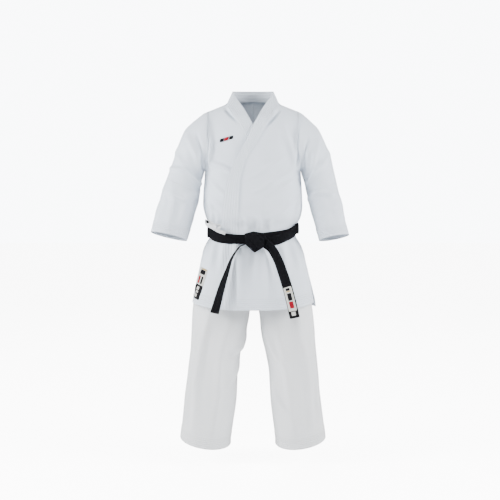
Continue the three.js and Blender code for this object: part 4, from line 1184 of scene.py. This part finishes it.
def strap(name, middles, rolls, widths, rows=90):
    """A stitched strap along a route: rolls turn its width about the vertical, in radians from X."""
    keys = np.linspace(0, 1, len(middles))
    route = through([(k, *p) for k, p in zip(keys, middles)])
    form = through([(k, r, w) for k, r, w in zip(keys, rolls, widths)])
    t = np.linspace(0, 1, rows)
    line = np.stack([route(t, 1), route(t, 2), route(t, 3)], -1)
    along = np.gradient(line, axis=0)
    along = along / np.linalg.norm(along, axis=1, keepdims=True)
    across = np.stack([np.cos(form(t, 1)), -np.sin(form(t, 1)), 0 * t], -1)
    across = across - (across * along).sum(1, keepdims=True) * along
    across = across / np.linalg.norm(across, axis=1, keepdims=True)
    w = np.linspace(-0.5, 0.5, 9)
    grid = line[:, None] + across[:, None] * (w[None, :, None] * form(t, 2)[:, None, None])
    obj = mesh_from_grid(name, grid, centre=(0, 0.3, line[:, 2].mean()))
    run = np.concatenate([[0], np.cumsum(np.linalg.norm(np.diff(line, axis=0), axis=1))])
    stitched(obj, np.repeat((w[None] + 0.5) * 8, rows, 0), np.repeat(run[:, None], 9, 1), BELT_WIDTH / 8)
    return obj, grid


# Each hanging end: points of its middle line, how its width turns, and its width.
BELT_ENDS = {
    "left": (
        [(0.046, -0.143, 0.893), (0.074, -0.156, 0.868), (0.097, -0.166, 0.826), (0.114, -0.174, 0.780),
            (0.127, -0.181, 0.740), (0.141, -0.188, 0.690), (0.161, -0.194, 0.606)],
        [0.55, 0.62, 0.60, 0.50, 0.42, 0.38, 0.36],
    ),
    "right": (
        [(-0.030, -0.142, 0.889), (-0.056, -0.156, 0.874), (-0.082, -0.168, 0.835), (-0.100, -0.177, 0.786),
            (-0.115, -0.183, 0.742), (-0.129, -0.189, 0.696), (-0.149, -0.194, 0.624)],
        [-1.42, -1.44, -1.38, -1.20, -1.02, -0.86, -0.66],
    ),
}


def belt_end(name):
    middles, rolls = BELT_ENDS[name]
    middles = [(x, y, h + FLOOR) for x, y, h in middles]
    obj, grid = strap(f"belt_end_{name}_strap", middles, rolls, [BELT_WIDTH] * 7)
    bend = ("uniform_body", f"{name}_belt_end", (0, -0.165, 0.882 + FLOOR), (0, -0.165, 0.800 + FLOOR))
    cloth_piece(obj, [f"belt_end_{name}"], "belt_cotton", "belt_cotton", (BELT_WIDTH, 0.34), "hung",
        ("belt_knot_front",), bend=bend, thickness=BELT_THICKNESS, offset=0.0)
    return grid


def knot_layer(name, outline, front, bulge, seed):
    """A folded layer of the knot: its outline in (x, height), swelling towards the front."""
    shape = np.array(outline, float)
    middle = shape.mean(0)
    rings, points = 7, []
    sides = []
    for a, b in zip(shape, np.roll(shape, -1, 0)):
        sides += [mix(a, b, t) for t in np.linspace(0, 1, 8, endpoint=False)]
    rim = np.array(sides)
    for k in range(rings + 1):
        t = k / rings
        points.append(mix(middle, rim, np.sin(t * math.pi / 2)))
    flat = np.array(points)
    depth = bulge * np.cos(np.linspace(0, 1, rings + 1) * math.pi / 2)[:, None] ** 0.7
    grid = np.stack([flat[..., 0], front - depth + 0 * flat[..., 0], flat[..., 1] + FLOOR], -1)
    grid[..., 1] -= rumple(grid, 0.02, 0.0016, seed)
    obj = mesh_from_grid(name, grid[1:], closed=True, centre=(middle[0], 0.2, middle[1] + FLOOR))
    mesh = bmesh.new()
    mesh.from_mesh(obj.data)
    mesh.verts.ensure_lookup_table()
    hub = mesh.faces.new([mesh.verts[i] for i in range(len(rim))])
    bmesh.ops.recalc_face_normals(mesh, faces=mesh.faces)
    bmesh.ops.poke(mesh, faces=[hub])
    mesh.to_mesh(obj.data)
    mesh.free()
    obj.data.shade_smooth()
    run = grid[1:, :, 0].ravel()
    run = np.append(run, middle[0])
    row = np.append((grid[1:, :, 2] - FLOOR).ravel(), middle[1]) / 0.005
    stitched(obj, row, run, 0.005)
    return obj


KNOT_LAYERS = [
    ("belt_knot_back", [(-0.034, 0.929), (0.000, 0.938), (0.046, 0.930), (0.056, 0.898), (0.030, 0.884),
        (-0.026, 0.886)],
        -0.1430, 0.0040, 0.009, 0.0046),
    ("belt_knot_front", [(-0.030, 0.921), (0.014, 0.931), (0.040, 0.917), (0.045, 0.880), (0.006, 0.855),
        (-0.031, 0.889)],
        -0.1530, 0.0040, 0.009, 0.0047),
    ("belt_knot_fold", [(-0.024, 0.923), (0.006, 0.931), (0.044, 0.886), (0.041, 0.876), (0.022, 0.868)],
        -0.1600, 0.0034, 0.005, 0.0022),
]


def belt_knot():
    for i, (name, outline, front, thickness, bulge, area) in enumerate(KNOT_LAYERS):
        obj = knot_layer(name, outline, front, bulge, 80 + i)
        cloth_piece(obj, ["belt_knot"], "belt_cotton", "belt_cotton", (0.080, 0.080), "folded",
            ("belt_outer_strap",), body="uniform_body", thickness=thickness, offset=-1.0, area=area)


# ---- labels and ties ----------------------------------------------------------------------------


def patch(name, grid, finish, slot_name, nodes, rests, flat, body=None, bend=None, thickness=0.0009,
    area=None):
    obj = mesh_from_grid(name, grid, centre=(0, 0.3, grid[..., 2].mean()))
    return cloth_piece(obj, nodes, finish, slot_name, flat, "laid", rests, body=body, bend=bend,
        thickness=thickness, offset=1.0, area=area)


def on_front(centre, lean, across, up, lift):
    """Points on the right front's cloth: across and up are metres from the centre, turned by lean."""
    c, s = math.cos(lean), math.sin(lean)
    x = centre[0] + across * c + up * s
    h = centre[1] - across * s + up * c
    return front_point(-1, -x, h, lift + 0 * x)


def chest_badge():
    """An embroidered badge: two dark marks and a red one, slanting up to the wearer's left."""
    marks = (("badge_dark_low", -0.020, 0.016, "thread_black"), ("badge_red", -0.001, 0.018, "thread_red"),
        ("badge_dark_high", 0.018, 0.016, "thread_black"))
    for name, place, width, finish in marks:
        u, v = lattice(7, 9)
        shear = (v - 0.5) * 0.005
        grid = on_front((-0.102, 1.296), -0.26, place + (u - 0.5) * width + shear, (v - 0.5) * 0.012, 0.0)
        grid = lay_on(grid, bpy.data.objects["jacket_front_right"], 0.0016)
        patch(name, grid, finish, "badge_thread", ["chest_badge"], ("jacket_front_right",), (width, 0.012),
            body="uniform_body", thickness=0.0010)


def strip(name, surface, low, high, left, right, finish, slot_name, nodes, rests, lift, **motion):
    """A rectangle of a label: low to high along it and left to right across it, as fractions."""
    u, v = lattice(14, 7)
    grid = surface(mix(left, right, u), mix(low, high, v), lift)
    width = np.linalg.norm(np.diff(grid, axis=1), axis=-1).sum(1).mean()
    length = np.linalg.norm(np.diff(grid, axis=0), axis=-1).sum(0).mean()
    flat = (max(width, 0.0101), max(length, 0.0101))
    return patch(name, grid, finish, slot_name, nodes, rests, flat, thickness=0.0006, area=width * length,
        **motion)


def hem_label():
    """The woven label beside the vent on the wearer's right: white above, black below."""
    bend = ("uniform_body", "front_skirt", (0, -0.12, 0.862 + FLOOR), (0, -0.12, 0.805 + FLOOR))

    def surface(u, v, lift):
        grid = on_front((-0.2080, 0.728), 0.30, (u - 0.5) * 0.034, (v - 0.5) * 0.126, 0.0)
        return lay_on(grid, bpy.data.objects["skirt_front_right"], lift)

    rests = ("skirt_front_right",)
    strip("hem_label_white", surface, 0.46, 1.0, 0.0, 1.0, "label_white", "woven_label", ["hem_label"],
        rests, 0.0016, bend=bend)
    strip("hem_label_black", surface, 0.0, 0.46, 0.0, 1.0, "label_black", "woven_label", [], rests, 0.0016,
        bend=bend)
    for i, (low, high) in enumerate(((0.06, 0.16), (0.19, 0.27), (0.30, 0.40))):
        strip(f"hem_label_bar_{i + 1}", surface, low, high, 0.38, 0.66, "label_white", "woven_label", [],
            ("hem_label_black",), 0.0026, bend=bend)
    strip("hem_label_mark_dark", surface, 0.80, 0.94, 0.22, 0.80, "thread_black", "woven_label", [],
        ("hem_label_white",), 0.0026, bend=bend)
    strip("hem_label_mark_red", surface, 0.50, 0.74, 0.22, 0.42, "thread_red", "woven_label", [],
        ("hem_label_white",), 0.0026, bend=bend)
    strip("hem_label_line_dark", surface, 0.50, 0.74, 0.56, 0.76, "thread_black", "woven_label", [],
        ("hem_label_white",), 0.0026, bend=bend)
    strip("hem_label_mark_gold", surface, 0.95, 0.985, 0.30, 0.90, "thread_gold", "woven_label", [],
        ("hem_label_white",), 0.0026, bend=bend)


def belt_label(grid):
    """The woven label along the last part of the left belt end, black at its end and its edges."""
    bend = ("uniform_body", "left_belt_end", (0, -0.165, 0.882 + FLOOR), (0, -0.165, 0.800 + FLOOR))
    rows, columns = grid.shape[:2]
    across = grid[:, -1] - grid[:, 0]
    along = np.gradient(grid[:, columns // 2], axis=0)
    out = np.cross(across, along)
    out = out / np.linalg.norm(out, axis=1, keepdims=True)
    out = out * np.where(out[:, 1:2] > 0, -1, 1)

    def surface(u, v, lift):
        place = mix(0.985, 0.725, v) * (rows - 1)
        j = np.clip(place.astype(int), 0, rows - 2)
        t = (place - j)[..., None]
        left = mix(grid[j, 0], grid[j + 1, 0], t)
        right = mix(grid[j, -1], grid[j + 1, -1], t)
        return mix(left, right, u[..., None]) + mix(out[j], out[j + 1], t) * lift

    rests = ("belt_end_left_strap",)
    on = ("belt_label_white",)
    strip("belt_label_white", surface, 0.14, 1.0, 0.08, 0.92, "label_white", "woven_label",
        ["belt_end_label"], rests, 0.0024, bend=bend)
    strip("belt_label_black", surface, 0.0, 0.14, 0.05, 0.95, "label_black", "woven_label", [], rests,
        0.0024, bend=bend)
    strip("belt_label_square", surface, 0.015, 0.12, 0.30, 0.72, "label_white", "woven_label", [],
        ("belt_label_black",), 0.0030, bend=bend)
    strip("belt_label_mark_dark", surface, 0.82, 0.94, 0.30, 0.70, "thread_black", "woven_label", [], on,
        0.0030, bend=bend)
    strip("belt_label_mark_gold", surface, 0.76, 0.80, 0.25, 0.75, "thread_gold", "woven_label", [], on,
        0.0030, bend=bend)
    strip("belt_label_bar", surface, 0.44, 0.70, 0.30, 0.72, "thread_black", "woven_label", [], on, 0.0030,
        bend=bend)
    strip("belt_label_bar_red", surface, 0.22, 0.41, 0.30, 0.72, "thread_red", "woven_label", [], on,
        0.0030, bend=bend)


def tie_tape(name, nodes, route, rolls, width, rests, flat, finish="tie_cotton"):
    """A length of cotton tape."""
    middles = [(x, y, h + FLOOR) for x, y, h in route]
    obj, _ = strap(name, middles, rolls, [width] * len(route), rows=40)
    return cloth_piece(obj, nodes, finish, "tie_cotton", flat, "hung", rests, body="uniform_body",
        thickness=0.0012, offset=0.0)


def side_ties():
    """The tied tapes at the waist: a bow outside on the wearer's right, and one inside on the left."""
    rest = ("jacket_front_left",)
    tie_tape("tie_loop_high", ["side_tie_outer"],
        [(-0.150, -0.112, 0.954), (-0.166, -0.106, 0.968), (-0.182, -0.094, 0.974), (-0.176, -0.104, 0.962),
            (-0.154, -0.116, 0.951)],
        [0.5, 0.6, 0.8, 0.6, 0.5], 0.017, rest, (0.017, 0.075))
    tie_tape("tie_loop_low", [],
        [(-0.155, -0.116, 0.953), (-0.144, -0.124, 0.961), (-0.130, -0.128, 0.957), (-0.139, -0.129, 0.948),
            (-0.155, -0.120, 0.949)],
        [0.5, 0.5, 0.5, 0.5, 0.5], 0.015, rest, (0.015, 0.062))
    tie_tape("tie_tail", [], [(-0.156, -0.117, 0.954), (-0.142, -0.127, 0.943), (-0.126, -0.133, 0.935),
        (-0.108, -0.137, 0.929)],
        [0.5, 0.45, 0.4, 0.35], 0.014, rest, (0.014, 0.054))
    tie_tape("tie_tip", [], [(-0.174, -0.106, 0.969), (-0.181, -0.101, 0.974), (-0.188, -0.096, 0.978)],
        [0.8, 0.8, 0.8],
        0.013, rest, (0.013, 0.018), "label_black")
    tie_tape("tie_inner", ["side_tie_inner"],
        [(0.140, -0.094, 1.032), (0.150, -0.088, 1.040), (0.158, -0.082, 1.034), (0.150, -0.088, 1.026),
            (0.141, -0.094, 1.030)],
        [0.5, 0.7, 0.9, 0.7, 0.5], 0.012, ("jacket_front_right",), (0.012, 0.052))


# ---- stage --------------------------------------------------------------------------------------


def add_light(name, kind, energy, size, place, aim):
    data = bpy.data.lights.new(name, kind)
    data.energy = energy
    if kind == "AREA":
        data.shape = "DISK"
        data.size = size
    obj = bpy.data.objects.new(name, data)
    bpy.context.collection.objects.link(obj)
    obj.location = place
    obj.rotation_euler = (Vector(aim) - Vector(place)).to_track_quat("-Z", "Y").to_euler()
    return obj


def studio():
    settings = bpy.context.scene.uniform_stage
    bpy.ops.mesh.primitive_plane_add(size=30, location=(0, 0, FLOOR))
    floor = bpy.context.active_object
    floor.name = "floor"
    material, n, shader = new_material("floor_white")
    shader.inputs["Emission Color"].default_value = (1, 1, 1, 1)
    seen = n.add("LightPath").outputs["Is Camera Ray"]
    n.link(n.math("MULTIPLY", seen, settings.floor), shader.inputs["Emission Strength"])
    shader.inputs["Base Color"].default_value = (0.90, 0.90, 0.90, 1)
    shader.inputs["Roughness"].default_value = 0.9
    floor.data.materials.append(material)
    aim = (0, 0, -0.55)
    lights = [
        add_light("side_right", "AREA", settings.side, 2.0, (-3.2, -1.2, 0.7), aim),
        add_light("side_left", "AREA", settings.side * 0.9, 2.0, (3.2, -1.2, 0.7), aim),
        add_light("front", "AREA", settings.front, 2.4, (-0.8, -4.6, 1.6), aim),
        add_light("back", "AREA", settings.back, 2.4, (0.0, 3.4, 1.8), aim),
    ]
    world = bpy.data.worlds.new("studio")
    world.use_nodes = True
    n = Nodes(world.node_tree)
    sky = world.node_tree.nodes["Background"]
    sky.inputs[0].default_value = (0.93, 0.96, 1.0, 1)
    seen = n.math("MULTIPLY", n.add("LightPath").outputs["Is Camera Ray"], settings.backdrop - settings.sky)
    n.link(n.math("ADD", seen, settings.sky), sky.inputs[1])
    bpy.context.scene.world = world
    camera = bpy.data.cameras.new("camera")
    camera.lens = 81
    camera_object = bpy.data.objects.new("camera", camera)
    bpy.context.collection.objects.link(camera_object)
    camera_object.location = (-0.012, -4.5, 1.15 + FLOOR)
    look = Vector((-0.012, 0, 0.856 + FLOOR)) - camera_object.location
    camera_object.rotation_euler = look.to_track_quat("-Z", "Y").to_euler()
    bpy.context.scene.camera = camera_object


# ---- settings, operators and panel --------------------------------------------------------------


class UniformFinish(bpy.types.PropertyGroup):
    """Colours of the uniform's cloths."""

    jacket: bpy.props.FloatVectorProperty(
        name="Jacket", description="Colour of the jacket's canvas", subtype="COLOR", size=3,
        default=(0.70, 0.765, 0.85)
    )
    trousers: bpy.props.FloatVectorProperty(
        name="Trousers", description="Colour of the trousers' canvas", subtype="COLOR", size=3,
        default=(0.72, 0.74, 0.76)
    )
    belt: bpy.props.FloatVectorProperty(
        name="Belt", description="Colour of the belt", subtype="COLOR", size=3,
        default=(0.0035, 0.0036, 0.0048)
    )


class UniformStage(bpy.types.PropertyGroup):
    """Strength of the studio's lights."""

    side: bpy.props.FloatProperty(name="Sides", description="Power of the lights at both sides",
        default=290.0, min=0.0, unit="POWER")
    front: bpy.props.FloatProperty(name="Front", description="Power of the front light", default=130.0,
        min=0.0, unit="POWER")
    back: bpy.props.FloatProperty(name="Back", description="Power of the light behind", default=120.0,
        min=0.0, unit="POWER")
    backdrop: bpy.props.FloatProperty(name="Backdrop", description="Brightness of the backdrop",
        default=10.0, min=0.0)
    floor: bpy.props.FloatProperty(name="Floor", description="Glow of the floor", default=9.0, min=0.0)
    sky: bpy.props.FloatProperty(name="Sky", description="Brightness of the surroundings", default=0.30,
        min=0.0)


class Build:
    """Shared by the operators: each runs its build, and says when it is done."""

    bl_options = {"REGISTER", "UNDO"}

    def execute(self, context):
        self.build()
        return {"FINISHED"}


class UNIFORM_OT_jacket(Build, bpy.types.Operator):
    """Makes the jacket's fronts, backs, shoulder linings and stitched band"""

    bl_idname = "uniform.jacket"
    bl_label = "Jacket"

    def build(self):
        for word, side in SIDES:
            jacket_front(f"jacket_front_{word}", side)
            jacket_back(f"jacket_back_{word}", side)
            shoulder_lining(f"shoulder_lining_{word}_cloth", side)
        collar_band("collar_band")


class UNIFORM_OT_sleeves(Build, bpy.types.Operator):
    """Makes the sleeves, each in two stretches that meet at the elbow"""

    bl_idname = "uniform.sleeves"
    bl_label = "Sleeves"

    def build(self):
        for word, _ in SIDES:
            sleeves(word)


class UNIFORM_OT_skirt(Build, bpy.types.Operator):
    """Makes the jacket's skirts below the belt, with their hems, bands and vents"""

    bl_idname = "uniform.skirt"
    bl_label = "Skirt"

    def build(self):
        for word, side in SIDES:
            skirt_front(f"skirt_front_{word}", side)
            skirt_lapel(f"skirt_lapel_{word}_band", side)
            vent_patch(f"vent_patch_{word}_cloth", side)
        skirt_back("skirt_back")


class UNIFORM_OT_trousers(Build, bpy.types.Operator):
    """Makes the trousers: seat, waistband, gusset and legs"""

    bl_idname = "uniform.trousers"
    bl_label = "Trousers"

    def build(self):
        for word, _ in SIDES:
            trouser_seat(word)
            trouser_upper(word)
            trouser_lower(word)
        trouser_waistband("trouser_waistband_cloth")
        crotch_gusset("crotch_gusset_cloth")


class UNIFORM_OT_belt(Build, bpy.types.Operator):
    """Makes the belt: two turns, the knot and the hanging ends with their label"""

    bl_idname = "uniform.belt"
    bl_label = "Belt"

    def build(self):
        belt_wrap("belt_inner_strap", "belt_inner_wrap", 0.0095, 0.002, ("jacket_front_left",))
        belt_wrap("belt_outer_strap", "belt_outer_wrap", 0.0140, -0.013, ("belt_inner_strap",))
        belt_knot()
        belt_end("right")
        belt_label(belt_end("left"))


class UNIFORM_OT_trimmings(Build, bpy.types.Operator):
    """Makes the badge, the woven label beside the vent and the side ties"""

    bl_idname = "uniform.trimmings"
    bl_label = "Badge, label and ties"

    def build(self):
        chest_badge()
        hem_label()
        side_ties()


class UNIFORM_OT_stage(Build, bpy.types.Operator):
    """Sets the floor, the lights and the camera"""

    bl_idname = "uniform.stage"
    bl_label = "Stage"

    def build(self):
        studio()


OPERATORS = (
    UNIFORM_OT_jacket,
    UNIFORM_OT_sleeves,
    UNIFORM_OT_skirt,
    UNIFORM_OT_trousers,
    UNIFORM_OT_belt,
    UNIFORM_OT_trimmings,
    UNIFORM_OT_stage,
)


class UNIFORM_PT_panel(bpy.types.Panel):
    """The uniform's settings and the steps that make it"""

    bl_label = "Karate Uniform"
    bl_space_type = "VIEW_3D"
    bl_region_type = "UI"
    bl_category = "Uniform"

    def draw(self, context):
        for settings in (context.scene.uniform_finish, context.scene.uniform_stage):
            for name in settings.__annotations__:
                self.layout.prop(settings, name)
        for operator in OPERATORS:
            self.layout.operator(operator.bl_idname)


CLASSES = (UniformFinish, UniformStage, *OPERATORS, UNIFORM_PT_panel)


def register():
    for item in CLASSES:
        bpy.utils.register_class(item)
    bpy.types.Scene.uniform_finish = bpy.props.PointerProperty(type=UniformFinish)
    bpy.types.Scene.uniform_stage = bpy.props.PointerProperty(type=UniformStage)


def unregister():
    del bpy.types.Scene.uniform_stage
    del bpy.types.Scene.uniform_finish
    for item in reversed(CLASSES):
        bpy.utils.unregister_class(item)


def main():
    register()
    bpy.ops.uniform.jacket()
    bpy.ops.uniform.sleeves()
    bpy.ops.uniform.skirt()
    bpy.ops.uniform.trousers()
    bpy.ops.uniform.belt()
    bpy.ops.uniform.trimmings()
    bpy.ops.uniform.stage()


if __name__ == "__main__":
    main()
